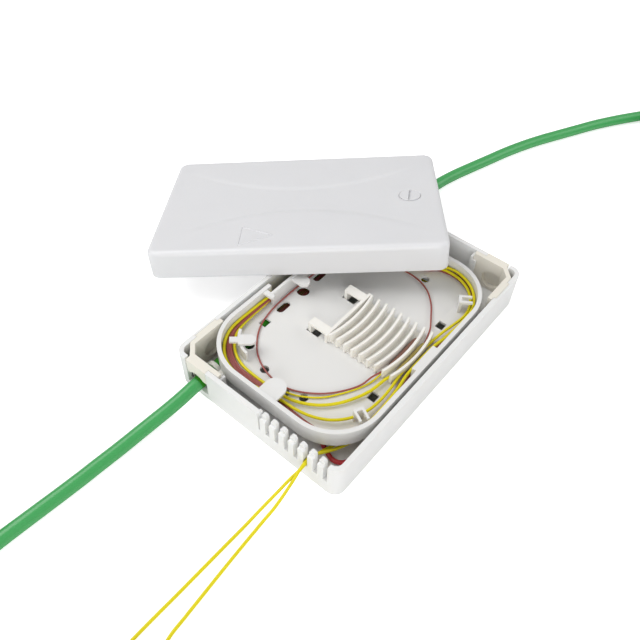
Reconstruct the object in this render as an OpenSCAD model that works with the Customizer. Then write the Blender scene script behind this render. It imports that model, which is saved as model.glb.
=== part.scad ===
// Fibre termination box: a wall tub with a leaning lid, cable port inserts,
// a splice tray, its comb and fibres, two riser cables and two pigtails.
// Millimetres. The origin is the middle of the tub's underside, X runs along
// the long side, Y across it and Z up.

/* [Tub] */
// Length of the tub, outside
tub_l = 160; // [130:1:200]
// Width of the tub, outside
tub_w = 103.4; // [92:0.1:130]
// Height of the tub's rim above its underside
tub_h = 22.7; // [20.5:0.1:30]
// Thickness of the tub's walls
wall_t = 2.5; // [1.8:0.1:3]
// Thickness of the tub's floor
floor_t = 2; // [1.2:0.1:2.6]
// Outer radius of the tub's and the lid's corners, seen from above
corner_r = 6; // [5:0.5:10]

/* [Lid] */
// Height of the lid
lid_h = 16.4; // [13:0.1:22]
// Thickness of the lid's skirt
lid_wall = 2.2; // [1.6:0.1:3]
// Thickness of the lid's top
lid_top_t = 2; // [1.4:0.1:3]
// Radius along the lid's top edge
lid_edge_r = 3; // [2:0.5:5]
// Turn of the leaning lid against the tub
lid_yaw = -52; // [-60:1:-45]
// Middle of the leaning lid, inward from the tub's end wall
lid_in = 43.6; // [35:0.1:50]
// Middle of the leaning lid, outward from the tub's back wall
lid_out = 17.6; // [12:0.1:25]

/* [Lock] */
// Diameter of the lock's slotted disc
lock_d = 12; // [9:0.5:14]
// Distance from the lid's end to the lock's axis
lock_inset = 17.5; // [16:0.5:20]
// Diameter of the lock's shank
shank_d = 5; // [4:0.5:6]
// Width of the slot across the disc
coin_slot_w = 1.6; // [1:0.1:2.2]

/* [Ports] */
// Distance of each end port from the tub's long centre line
port_y = 37; // [36:0.5:38]
// Distance of each side knock-out from the tub's cross centre line
port_x = 60; // [56:0.5:62]
// Height of the ports' axes
port_z = 10; // [9.5:0.1:11]
// Diameter of a port's round hole or knock-out
port_d = 11.5; // [10:0.5:12]
// Width of the notch in the end wall that a port insert fills
notch_w = 14; // [13:0.5:15]
// Length of an insert's arm along the end wall, inward from its port
arm_end = 13; // [10:0.5:14]
// Length of an insert's arm along the long wall, inward from its knock-out
arm_side = 9; // [8:0.5:11]
// Thickness of an insert's arm
arm_t = 2.4; // [1.6:0.1:3]

/* [Outlet comb] */
// Number of fingers
finger_n = 7; // [4:1:8]
// Distance between fingers
finger_pitch = 5.75; // [5:0.05:6]
// Width of the slot between two fingers
outlet_slot_w = 2.4; // [2:0.1:3]
// Distance of the first finger from the tub's long centre line
finger_y0 = 7; // [5:0.5:8]
// Height of the slots' bottoms
outlet_z = 9.5; // [8:0.1:11]

/* [Splice tray] */
// Length of the tray, outside
tray_l = 135; // [128:0.5:136]
// Width of the tray, outside
tray_w = 94.4; // [90:0.2:95]
// Outer radius of the tray's corners
tray_r = 27; // [22:0.5:30]
// Height of the tray
tray_h = 10.3; // [9:0.1:14]
// Thickness of the tray's wall
tray_wall = 2.2; // [1.6:0.1:2.8]
// Thickness of the tray's floor
tray_floor = 1.6; // [1.2:0.1:2]
// Height of the tray's underside above the tub's underside
tray_z = 12; // [11.8:0.1:13]
// Middle of the tray, along the tub
tray_x = -3.5; // [-5:0.5:-2]

/* [Splice comb] */
// Number of curved fins
fin_n = 9; // [4:1:9]
// Distance between fins
fin_pitch = 4.8; // [4.6:0.1:5]
// Length of a fin
fin_l = 36; // [32:0.5:38]
// Thickness of a fin
fin_t = 1.3; // [0.8:0.1:1.4]
// Height of the fins above the tray's floor
fin_h = 6.4; // [5:0.1:7]
// Radius that the fins are curved to
fin_curve_r = 70; // [66:1:120]

/* [Cables and fibres] */
// Diameter of a riser cable
riser_d = 7; // [6:0.1:7.2]
// Diameter of a pigtail's yellow jacket
pigtail_d = 1.6; // [1.2:0.1:1.8]
// Diameter of a bare brown fibre
fibre_d = 0.9; // [0.6:0.1:1.2]
// Diameter of the red loose tube
red_d = 2.4; // [1.8:0.1:2.4]
// Diameter of a splice sleeve
sleeve_d = 2; // [1.6:0.1:2]
// Length of a splice sleeve
sleeve_l = 24; // [20:0.5:26]

/* [Hidden] */
$fn = 48;

// Clearance between pieces that drop or slide into each other
fit = 0.15;
// Gap left where one piece rests on another
seat = 0.3;
// Radial clearance of the lock's shank in its bore
running = 0.06;
// Overcut, so that a cut passes cleanly through a face
eps = 0.5;

// Inner faces of the tub's walls
in_x = tub_l / 2 - wall_t;
in_y = tub_w / 2 - wall_t;

// ---------- shared shapes ----------

// Rectangle with round corners, centred
module round_rect(l, w, r) {
  square([l - 2 * r, w], center = true);
  square([l, w - 2 * r], center = true);
  for (x = [-1, 1], y = [-1, 1])
    translate([x * (l / 2 - r), y * (w / 2 - r)]) circle(r);
}

// Slab with round corners that stands on z = 0
module round_slab(l, w, r, h) {
  linear_extrude(h) round_rect(l, w, r);
}

// Straight slot with round ends, lying along X
module obround(l, w) {
  square([l - w, w], center = true);
  for (x = [-1, 1]) translate([x * (l - w) / 2, 0]) circle(d = w);
}

// Box from its lowest corner to its highest
module block(low, high) {
  translate(low) cube(high - low);
}

function unit(v) = v / norm(v);
function heading(p, i) =
  unit(p[min(i + 1, len(p) - 1)] - p[max(i - 1, 0)]);
function level(t) = unit(cross(t, [0, 0, 1]));
function ring_at(p, i, d, sides) =
  let (t = heading(p, i), s = level(t), u = cross(s, t))
  [for (k = [0 : sides - 1])
    p[i] + d / 2 * (cos(360 * k / sides) * s + sin(360 * k / sides) * u)];

// Round tube of one diameter, swept along a route
module tube(route, d, sides) {
  n = len(route);
  points = [for (i = [0 : n - 1]) each ring_at(route, i, d, sides)];
  skin = [for (i = [0 : n - 2], k = [0 : sides - 1])
    [i * sides + k, i * sides + (k + 1) % sides,
     (i + 1) * sides + (k + 1) % sides, (i + 1) * sides + k]];
  start = [[for (k = [sides - 1 : -1 : 0]) k]];
  finish = [[for (k = [0 : sides - 1]) (n - 1) * sides + k]];
  polyhedron(points, concat(skin, start, finish), convexity = 8);
}

// Points of an arc about [cx, cy] at height z, from angle a to angle b
function arc(cx, cy, r, a, b, z, n = 6) =
  [for (i = [0 : n]) let (t = a + (b - a) * i / n)
    [cx + r * cos(t), cy + r * sin(t), z]];

// ---------- tub ----------

finger_w = finger_pitch - outlet_slot_w;
comb_low = -finger_y0 - (finger_n - 0.5) * finger_pitch - outlet_slot_w / 2;
comb_high = -finger_y0 + finger_w / 2 + 1.2;
finger_step = 3;
bracket_t = 1.2;
notch_z = 4.5;
rebate_t = 1.3;
lock_x = tub_l / 2 - lock_inset;
post_r = shank_d / 2 + 3.2;
post_top = tub_h + 6;
ear_r = shank_d / 2 + 1.4;
tray_post_x = 44;
tray_post_y = 24;
tray_post_r = 3;
screw_spacing = 100;
screw_r = 2.25;
saddle_x = 68.5;
saddle_w = 5;
riser_z = notch_z + riser_d / 2 + 0.1;

// Opening of one end port, from its notch's bottom to above the rim
module port_notch(side, y) {
  block([side > 0 ? in_x - eps : -tub_l / 2 - eps, y - notch_w / 2, notch_z],
        [side > 0 ? tub_l / 2 + eps : -in_x + eps, y + notch_w / 2, tub_h + eps]);
}

// Shallow rebate inside a long wall, behind a side knock-out
module side_rebate(x, side) {
  y0 = side > 0 ? in_y - eps : -in_y - rebate_t;
  translate([x - notch_w / 2, y0, notch_z])
    cube([notch_w, rebate_t + eps, tub_h]);
}

// Moulded hooks that hold the two free edges of one corner's insert
module insert_brackets(sx, sy) {
  arm_end_y = port_y - arm_end - fit;
  arm_end_x = port_x - arm_side - fit;
  lip = fit * 2 + arm_t;
  mirror([sx < 0 ? 1 : 0, 0, 0]) mirror([0, sy < 0 ? 1 : 0, 0]) {
    block([in_x - lip - bracket_t, arm_end_y - bracket_t, floor_t - eps],
          [in_x + eps, arm_end_y, tub_h - 2]);
    block([in_x - lip - bracket_t, arm_end_y - bracket_t, floor_t - eps],
          [in_x - lip, arm_end_y + 2.4, tub_h - 4]);
    block([arm_end_x - bracket_t, in_y - lip - bracket_t, floor_t - eps],
          [arm_end_x, in_y + eps, tray_z - 0.3]);
    block([arm_end_x - bracket_t, in_y - lip - bracket_t, floor_t - eps],
          [arm_end_x + 2.4, in_y - lip, tray_z - 0.3]);
  }
}

// Fingers that the pigtails leave between, low outside and tall inside
module outlet_fingers() {
  for (i = [0 : finger_n - 1]) {
    y = -finger_y0 - i * finger_pitch;
    block([-tub_l / 2, y - finger_w / 2, outlet_z - eps],
          [-in_x + 0.5, y + finger_w / 2, tub_h - finger_step]);
    block([-in_x - 1, y - finger_w / 2, outlet_z - eps],
          [-in_x + 1, y + finger_w / 2, tub_h - finger_w / 2]);
    translate([-in_x - 1, y, tub_h - finger_w / 2]) rotate([0, 90, 0])
      cylinder(d = finger_w, h = 2);
  }
  // Half a finger where the wall starts again
  block([-in_x - 1, comb_high - eps, outlet_z - eps],
        [-in_x + 1, comb_high + finger_w / 2, tub_h - finger_w / 2]);
  translate([-in_x - 1, comb_high + finger_w / 4 - eps / 2, tub_h - finger_w / 2])
    rotate([0, 90, 0]) cylinder(d = finger_w / 2 + eps, h = 2);
  block([-in_x - 0.1, comb_low, floor_t - eps],
        [-in_x + 1, comb_high + finger_w / 2, outlet_z]);
}

// Saddle that a riser lies in, with a bridge for its tie
module riser_saddle(x) {
  difference() {
    block([x - saddle_w / 2, port_y - 6, floor_t - eps],
          [x + saddle_w / 2, port_y + 6, riser_z - 0.6]);
    translate([x - saddle_w, port_y, riser_z]) rotate([0, 90, 0])
      cylinder(d = riser_d + 2 * fit, h = saddle_w * 2);
    block([x - 1.4, port_y - 5, floor_t], [x + 1.4, port_y + 5, riser_z]);
  }
}

// Column and socket that take the lid's lock
module lock_post() {
  translate([lock_x, 0, floor_t - eps]) difference() {
    cylinder(r = post_r, h = post_top - floor_t + eps);
    translate([0, 0, post_top - floor_t - 6.5])
      cylinder(d = shank_d + 0.6, h = 10);
    // The ears drop through the slot and turn in the chamber below it
    translate([-ear_r - 0.3, -1.3, post_top - floor_t - 6.5])
      cube([2 * ear_r + 0.6, 2.6, 10]);
    translate([0, 0, post_top - floor_t - 6.5])
      cylinder(r = ear_r + 0.3, h = 4.7);
  }
}

module base_tub() color("white") difference() {
  union() {
    difference() {
      round_slab(tub_l, tub_w, corner_r, tub_h);
      translate([0, 0, floor_t])
        round_slab(2 * in_x, 2 * in_y, corner_r - wall_t, tub_h);
      port_notch(-1, port_y);
      port_notch(1, port_y);
      port_notch(1, -port_y);
      side_rebate(-port_x, 1);
      side_rebate(port_x, 1);
      side_rebate(port_x, -1);
      block([-tub_l / 2 - eps, comb_low, outlet_z],
            [-in_x + eps, comb_high, tub_h + eps]);
    }
    outlet_fingers();
    insert_brackets(-1, 1);
    insert_brackets(1, 1);
    insert_brackets(1, -1);
    for (x = [-1, 1]) riser_saddle(x * saddle_x);
    for (x = [-1, 1], y = [-1, 1])
      translate([tray_x + x * tray_post_x, y * tray_post_y, floor_t - eps])
        cylinder(r = tray_post_r, h = tray_z - floor_t + eps - 0.1);
    lock_post();
  }
  for (x = [-1, 1]) translate([x * screw_spacing / 2, 0, -eps])
    cylinder(r = screw_r, h = floor_t + 2 * eps);
}

// ---------- lid ----------

// Middle of the lid's underside as it leans, seen from above
lid_mid = [tub_l / 2 - lid_in, tub_w / 2 + lid_out];
lean_gap = 0.3;

// Point of the lid's own frame, placed by tilt [pitch, roll] and height z
function lean(p, t, z) =
  let (a = [cos(t[1]) * p[0] + sin(t[1]) * p[2], p[1],
            cos(t[1]) * p[2] - sin(t[1]) * p[0]],
       b = [a[0], cos(t[0]) * a[1] - sin(t[0]) * a[2],
            sin(t[0]) * a[1] + cos(t[0]) * a[2]])
  [lid_mid[0] + cos(lid_yaw) * b[0] - sin(lid_yaw) * b[1],
   lid_mid[1] + sin(lid_yaw) * b[0] + cos(lid_yaw) * b[1], z + b[2]];

// Where the line through a and b crosses x = v or y = v, seen from above
function at_x(a, b, v) = [v, a[1] + (b[1] - a[1]) * (v - a[0]) / (b[0] - a[0])];
function at_y(a, b, v) = [a[0] + (b[0] - a[0]) * (v - a[1]) / (b[1] - a[1]), v];

// The skirt's inner edge rests on the end wall's rim and on the back wall's
// rim, and its far corner on the ground
function contacts(t) =
  let (u = tub_l / 2 - lid_wall, v = tub_w / 2 - lid_wall,
       near_right = lean([u, -v, 0], t, 0),
       far_right = lean([u, v, 0], t, 0),
       near_left = lean([-u, -v, 0], t, 0),
       k = corner_r * (1 - cos(45)),
       low = lean([-tub_l / 2 + k, tub_w / 2 - k, 0], t, 0),
       a = at_x(near_right, far_right, tub_l / 2),
       b = at_y(near_left, near_right, tub_w / 2))
  [[a[0], a[1], tub_h + lean_gap], [b[0], b[1], tub_h + lean_gap],
   [low[0], low[1], lean_gap]];

// Tilt [pitch, roll, height] of the plane through the three contacts
function plane_of(c) =
  let (m = unit(cross(c[1] - c[0], c[2] - c[0])),
       n = m[2] > 0 ? m : -m,
       u = cos(lid_yaw) * n[0] + sin(lid_yaw) * n[1],
       v = cos(lid_yaw) * n[1] - sin(lid_yaw) * n[0])
  [atan2(-v, n[2]), asin(u),
   c[0][2] - (n[0] * (lid_mid[0] - c[0][0]) + n[1] * (lid_mid[1] - c[0][1])) / n[2]];

function settle(t, steps) =
  steps == 0 ? t : settle(plane_of(contacts(t)), steps - 1);

lid_rest = settle([-10, -5, 15], 6);

// Moves a shape from the lid's own frame to where the lid leans
module on_leaning_lid() {
  translate([lid_mid[0], lid_mid[1], lid_rest[2]])
    rotate([0, 0, lid_yaw]) rotate([lid_rest[0], 0, 0])
      rotate([0, lid_rest[1], 0]) children();
}

// Round-topped block with vertical sides that stands on z = 0
module pillow(l, w, r, h, edge) {
  hull() for (x = [-1, 1], y = [-1, 1])
    translate([x * (l / 2 - r), y * (w / 2 - r), 0])
      rotate_extrude($fn = 32) {
        square([r, h - edge]);
        square([r - edge, h]);
        translate([r - edge, h - edge]) circle(edge, $fn = 24);
      }
}

locating_h = 1.5;
boss_r = shank_d / 2 + 2;
recess_d = lock_d + 0.6;
recess_t = 1.2;
shank_low = 4;

// Short ribs inside the skirt that centre the closed lid in the tub
module locating_rib(reach, skirt, l) {
  block([reach - 1.2, -l / 2, -locating_h], [reach, l / 2, lid_h - lid_top_t + 0.1]);
  block([reach - 0.6, -l / 2, fit], [skirt + 0.3, l / 2, lid_h - lid_edge_r - 1]);
}
module locating_ribs() {
  for (x = [-36, 36], s = [90, -90]) translate([x, 0, 0]) rotate([0, 0, s])
    locating_rib(in_y - fit, tub_w / 2 - lid_wall, 12);
  for (s = [0, 180]) rotate([0, 0, s]) translate([0, s == 0 ? 13 : -13, 0])
    locating_rib(in_x - fit, tub_l / 2 - lid_wall, 8);
}

// Outline of a triangle, raised on the lid
module triangle_mark() {
  mark = [[-31, -47], [-31, -28], [-13, -37.5]];
  translate([0, 0, lid_h - eps]) linear_extrude(eps + 0.3) difference() {
    polygon(mark);
    translate([-26, -37.5]) scale(0.86) translate([26, 37.5]) polygon(mark);
  }
}

module lid_cover() color("white") on_leaning_lid() difference() {
  union() {
    difference() {
      pillow(tub_l, tub_w, corner_r, lid_h, lid_edge_r);
      translate([0, 0, -eps])
        pillow(tub_l - 2 * lid_wall, tub_w - 2 * lid_wall, corner_r - lid_wall,
               lid_h - lid_top_t + eps, lid_edge_r - 1.5);
    }
    // Stiffening ribs at the end away from the lock
    for (y = [-30, 30])
      block([-tub_l / 2 + lid_wall - 0.3, y - 1, lid_h / 2],
            [-tub_l / 2 + 12, y + 1, lid_h - lid_top_t + 0.1]);
    translate([lock_x, 0, shank_low + 3.2])
      cylinder(r = boss_r, h = lid_h - shank_low - 3.2 - 0.1);
    locating_ribs();
    triangle_mark();
  }
  translate([lock_x, 0, -1]) cylinder(r = shank_d / 2 + running, h = lid_h + 5);
  translate([lock_x, 0, lid_h - recess_t]) cylinder(d = recess_d, h = 5);
}

// Direction of the coin slot while the ears lie along the lid's length
coin_slot_turn = 82;

// Slotted disc, shank and bayonet ears of the quarter-turn lock
module lid_lock() color("whitesmoke") on_leaning_lid() translate([lock_x, 0, 0])
  difference() {
    union() {
      translate([0, 0, lid_h - recess_t + 0.05])
        cylinder(d = lock_d, h = recess_t + 0.15);
      translate([0, 0, shank_low]) cylinder(d = shank_d, h = lid_h - shank_low - 0.5);
        block([-ear_r, -0.9, shank_low], [ear_r, 0.9, shank_low + 2.4]);
    }
    translate([0, 0, lid_h - 0.7]) rotate([0, 0, coin_slot_turn])
      translate([-lock_d / 2 - 1, -coin_slot_w / 2, 0]) cube([lock_d + 2, coin_slot_w, 3]);
  }

// ---------- corner inserts ----------

chamfer = 6;

// Plan of an insert: two arms and a slanted web across the corner
module insert_plan() {
  x1 = in_x - fit;
  y1 = in_y - fit;
  x0 = port_x - arm_side;
  y0 = port_y - arm_end;
  k = chamfer + 0.41 * arm_t;
  polygon([[x1, y0], [x1, y1 - chamfer], [x1 - chamfer, y1], [x0, y1],
           [x0, y1 - arm_t], [x1 - k, y1 - arm_t], [x1 - arm_t, y1 - k],
           [x1 - arm_t, y0]]);
}

// One insert, for the corner at +X +Y; open_end frees its end port
module corner_insert(open_end) {
  half = notch_w / 2 - fit;
  tongue_z = notch_z + fit;
  difference() {
    union() {
      translate([0, 0, floor_t + fit]) linear_extrude(tub_h - floor_t - fit)
        insert_plan();
      block([in_x - fit - eps, port_y - half, tongue_z],
            [tub_l / 2, min(port_y + half, in_y - fit - chamfer), tub_h]);
      block([port_x - half, in_y - fit - eps, tongue_z],
            [port_x + half, in_y + rebate_t - fit, tub_h]);
    }
    // Round recess of the side knock-out, closed by the tongue behind it
    translate([port_x, in_y - fit, port_z]) rotate([90, 0, 0])
      cylinder(d = port_d, h = arm_t + eps);
    if (open_end) {
      translate([in_x - arm_t - 2, port_y, port_z]) rotate([0, 90, 0])
        cylinder(d = port_d, h = arm_t + wall_t + 4);
      block([in_x - arm_t - 2, port_y - port_d / 2, 0],
            [tub_l / 2 + eps, port_y + port_d / 2, port_z]);
      block([in_x - fit + 0.01, port_y - notch_w, 0],
            [tub_l / 2 + eps, port_y + notch_w, port_z + 3.6]);
    } else
      translate([in_x - fit - arm_t - eps, port_y, port_z]) rotate([0, 90, 0])
        cylinder(d = port_d, h = arm_t + eps);
  }
}

module corner_insert_left() color("linen")
  mirror([1, 0, 0]) corner_insert(true);
module corner_insert_right() color("linen")
  mirror([0, 1, 0]) corner_insert(false);
module corner_insert_back() color("linen") corner_insert(true);

// ---------- splice tray ----------

tray_top = tray_z + tray_h;
tray_deck = tray_z + tray_floor;
relief_r = post_r + 1.2;
tab_t = 1.5;
tab_z = tray_top - tab_t - 0.4;
entry_x0 = -13.5;
entry_x1 = 13.5;
inner_wall_y = tray_w / 2 - tray_wall - 4.7;
inner_wall_t = 1.6;

// Plan of the tray, shrunk by d, with room for the lock's column
module tray_plan(d) {
  difference() {
    translate([tray_x, 0]) round_rect(tray_l - 2 * d, tray_w - 2 * d, tray_r - d);
    translate([lock_x, 0]) circle(relief_r + d);
  }
}

// Round-ended tab that keeps fibres down, from p towards angle a
module fibre_tab(p, a, l, w) {
  translate([p[0], p[1], tab_z]) rotate([0, 0, a]) {
    translate([0, -w / 2, 0]) cube([l - w / 2, w, tab_t]);
    translate([l - w / 2, 0, 0]) cylinder(d = w, h = tab_t);
  }
}

// Curved guide wall inside one corner at the left or right end, with a tab
module corner_guide(sx) {
  r = 15.6;
  face = function(q) [for (i = [0 : 8]) let (a = 115 + i * 7.5) [q * cos(a), q * sin(a)]];
  back = face(r - 0.7);
  translate([tray_x, 0, 0]) mirror([sx > 0 ? 1 : 0, 0, 0]) {
    translate([-37.8, 23.6, tray_deck - eps]) linear_extrude(tab_z - tray_deck + eps)
      polygon(concat(face(r + 0.7), [for (i = [8 : -1 : 0]) back[i]]));
    translate([-50.8, 33.2, tab_z]) rotate([0, 0, -49]) {
      translate([0, -3, 0]) cube([6, 6, tab_t]);
      translate([6, 0, 0]) cylinder(d = 6, h = tab_t);
      translate([-4.3, -1.6, 0]) cube([5, 3.2, tab_t]);
    }
  }
}

// Loop of two bars and a post that fibres pass under
module fibre_loop(p, a) {
  translate([p[0], p[1], 0]) rotate([0, 0, a]) {
    translate([0, -2.6, tray_deck - eps]) cube([1.6, 5.2, tab_z + tab_t - tray_deck + eps]);
    for (y = [-2.6, 1.4]) translate([0, y, tab_z]) cube([7, 1.2, tab_t]);
  }
}

module tray_holes() {
  z = tray_z - eps;
  h = tray_floor + 2 * eps;
  for (x = [-29.3, 29.3], y = [-1, 1]) translate([tray_x + x - 2.5, y * 35.4 - 2.2, z])
    cube([5, 4.4, h]);
  for (x = [-1, 1]) {
    translate([tray_x + x * 15, 35.4, z]) linear_extrude(h) obround(9, 4.4);
    translate([tray_x + x * 51.5, 15, z]) cylinder(d = 4.6, h = h);
    translate([tray_x + x * 51.5, -10.5, z]) cylinder(d = 4.6, h = h);
    translate([tray_x + x * 45.5, 31, z]) cylinder(d = 5, h = h);
  }
  translate([tray_x - 55.5, -1, z]) cylinder(d = 6, h = h);
  translate([tray_x + 0.5, 34.8, z]) cylinder(d = 7, h = h);
  for (x = [arm_x1, arm_x2]) translate([x - arm_tab_w / 2 - 0.4, arm_hole_y, z])
    cube([arm_tab_w + 0.8, arm_hole_l, h]);
}

module splice_tray() color("gainsboro") difference() {
  union() {
    difference() {
      translate([0, 0, tray_z]) linear_extrude(tray_h) tray_plan(0);
      translate([0, 0, tray_deck]) linear_extrude(tray_h) tray_plan(tray_wall);
      // Gap in the back wall and floor where the fibres come up
      block([tray_x + entry_x0, inner_wall_y + inner_wall_t, tray_z - eps],
            [tray_x + entry_x1, tray_w / 2 + eps, tray_top + eps]);
    }
    block([tray_x + entry_x0 - 4, inner_wall_y, tray_deck - eps],
          [tray_x + entry_x1 + 4, inner_wall_y + inner_wall_t, tray_top]);
    // Thickened stretch of the near wall
    block([tray_x - 9, -tray_w / 2 + tray_wall - eps, tray_deck - eps],
          [tray_x + 9, -tray_w / 2 + tray_wall + 2.4, tray_top]);
    fibre_tab([tray_x - tray_l / 2 + tray_wall - 0.2, 0], 0, 11, 11);
    fibre_tab([tray_x + 0.5, inner_wall_y + 0.2], -90, 9.5, 6.6);
    fibre_tab([tray_x + entry_x0 - 5, tray_w / 2 - tray_wall + 0.2], -90, 6.5, 3);
    for (s = [-1, 1]) corner_guide(s);
    fibre_loop([tray_x - 43.5, -36.5], 245);
    fibre_loop([tray_x + 44.5, -35.5], 305);
  }
  tray_holes();
}

// ---------- splice comb ----------

comb_x = tray_x;
fin_y0 = 0.4;
frame_y = 2.9;
comb_base_t = 1;
comb_z = tray_deck + 0.05;
arm_x1 = comb_x - 16;
arm_x2 = comb_x + 13.8;
arm_tab_w = 5;
arm_reach = 12;
arm_hole_l = 8;
arm_hole_y = frame_y + arm_reach - arm_hole_l + 1.2;
fin_low_y = fin_y0 - (fin_n - 1) * fin_pitch;
fin_sag = fin_l * fin_l / 8 / fin_curve_r;

// Curved fin, its middle bulging towards -Y, with flared ends
module fin(y) {
  half = asin(fin_l / 2 / fin_curve_r);
  top = [for (i = [0 : 8]) let (a = -half + i * half / 4)
    [fin_curve_r * sin(a), fin_curve_r * (1 - cos(a)) + fin_t / 2]];
  bottom = [for (i = [8 : -1 : 0]) let (a = -half + i * half / 4)
    [fin_curve_r * sin(a), fin_curve_r * (1 - cos(a)) - fin_t / 2]];
  translate([comb_x, y - fin_sag / 2, comb_z + eps / 2])
    linear_extrude(fin_h - eps / 2) polygon(concat(top, bottom));
}

module splice_comb() color("antiquewhite") {
  block([comb_x - fin_l / 2 + 1, fin_low_y - 1, comb_z],
        [comb_x + fin_l / 2 - 1, frame_y + 0.8, comb_z + comb_base_t]);
  block([comb_x - fin_l / 2 - 1, frame_y - 0.8, comb_z],
        [comb_x + fin_l / 2, frame_y + 0.8, comb_z + fin_h]);
  for (i = [0 : fin_n - 1]) fin(fin_y0 - i * fin_pitch);
  for (x = [arm_x1, arm_x2]) {
    block([x - arm_tab_w / 2, frame_y - 0.8, comb_z + fin_h - 1.6],
          [x + arm_tab_w / 2, frame_y + arm_reach, comb_z + fin_h]);
    block([x - arm_tab_w / 2, frame_y + arm_reach - 1.8, tray_z + 0.2],
          [x + arm_tab_w / 2, frame_y + arm_reach, comb_z + fin_h]);
  }
}

// ---------- splices and fibres ----------

// Middle height of the sleeves and of the fibres that enter them
sleeve_z = comb_z + comb_base_t + sleeve_d / 2 + 0.1;
// A straight sleeve lies at the mean line of its curved slot
sleeve_shift = -fin_sag / 2 + sleeve_l * sleeve_l / 16 / fin_curve_r;
slot_2_y = fin_y0 - (fin_n - 1.5) * fin_pitch + sleeve_shift;
slot_1_y = slot_2_y + fin_pitch;
// How far a fibre swings to +Y from its sleeve to the slot's end
slot_swing = fin_sag / 2 - sleeve_shift - 0.3;

module splice_sleeve(y) {
  translate([comb_x - sleeve_l / 2, y, sleeve_z]) rotate([0, 90, 0])
    cylinder(d = sleeve_d, h = sleeve_l);
}
module splice_sleeve_1() color("rosybrown") splice_sleeve(slot_1_y);
module splice_sleeve_2() color("palegoldenrod") splice_sleeve(slot_2_y);

// Points round the inside of the tray's wall, inset by d, from the entry
// gap anticlockwise round the left end to the middle of the near side
function tray_left(d, z) =
  let (x0 = tray_x - tray_l / 2 + tray_r, y1 = tray_w / 2 - tray_r,
       r = tray_r - tray_wall - d)
  concat(arc(x0, y1, r, 90, 180, z), arc(x0, -y1, r, 180, 270, z));

// The rest of the same loop, round the right end
function tray_right(d, z) =
  let (x1 = tray_x + tray_l / 2 - tray_r, y1 = tray_w / 2 - tray_r,
       r = tray_r - tray_wall - d, m = relief_r + tray_wall + d)
  concat(arc(x1, -y1, r, -90, 0, z, 5),
         [[lock_x - 4.7, -m - 1, z], [lock_x - m * 0.74, -m * 0.74, z],
          [lock_x - m - 0.6, 0, z],
          [lock_x - m * 0.74, m * 0.74, z], [lock_x - 4.7, m + 1, z]],
         arc(x1, y1, r, 0, 90, z, 5));

sleeve_end = sleeve_l / 2;
fibre_low = tray_deck + fibre_d / 2 + 0.3;

// Places a run of [x, y, z] points by the tray's middle
function in_tray(p) = [for (q = p) [tray_x + q[0], q[1], fibre_low + q[2]]];

module brown_fibre_1() color("brown") tube(concat(in_tray([
  [22, 37.6, 0], [12, 38.4, 0], [-12, 38.8, 0], [-23, 37.8, 0], [-33, 35, 0],
  [-41, 30, 0], [-47.4, 23.5, 0], [-51.5, 15.8, 0], [-53.4, 8, 0], [-53.2, 0, 0],
  [-50.4, -7.6, 0.1], [-43.9, -16.8, 0.3], [-36.6, -23, 0.5], [-28.6, -27.4, 0.8]]),
  [[comb_x - fin_l / 2 - 4, slot_1_y + slot_swing + 1.2, sleeve_z],
   [comb_x - fin_l / 2, slot_1_y + slot_swing, sleeve_z],
   [comb_x - sleeve_end - 1, slot_1_y, sleeve_z],
   [comb_x - sleeve_end, slot_1_y, sleeve_z]]), fibre_d, 8);

module brown_fibre_2() color("brown") tube(concat(
  [[comb_x + sleeve_end, slot_2_y, sleeve_z],
   [comb_x + sleeve_end + 1, slot_2_y, sleeve_z],
   [comb_x + fin_l / 2, slot_2_y + slot_swing, sleeve_z],
   [comb_x + fin_l / 2 + 4, slot_2_y + slot_swing + 1.4, sleeve_z]], in_tray([
  [30, -28.6, 0.8], [38, -23.2, 0.4], [45, -15.5, 0.1], [48.2, -7, 0],
  [48.6, 3, 0], [47, 13, 0], [41.5, 24, 0], [34, 31.5, 0], [22, 36.4, 0]])),
  fibre_d, 8);

// A pigtail's jacket inside the box: from the outlet slot, round under the
// tray, up through the entry gap and along the tray's wall
outlet_y = -finger_y0 - 4.5 * finger_pitch;
outlet_low_z = outlet_z + pigtail_d / 2 + 0.2;
outlet_high_z = outlet_low_z + pigtail_d + 0.1;
lap_y = tray_w / 2 - tray_wall - pigtail_d / 2 - 0.3;
lap_x = tray_x - tray_l / 2 + tray_wall + pigtail_d / 2 + 0.3;
near_y = -tray_w / 2 + tray_wall + 2.4 + pigtail_d / 2 + 0.3;

// Straight stretch through the outlet slot
function through_slot(z) =
  [[-tub_l / 2, outlet_y, z], [-in_x + 2.5, outlet_y, z]];

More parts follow.
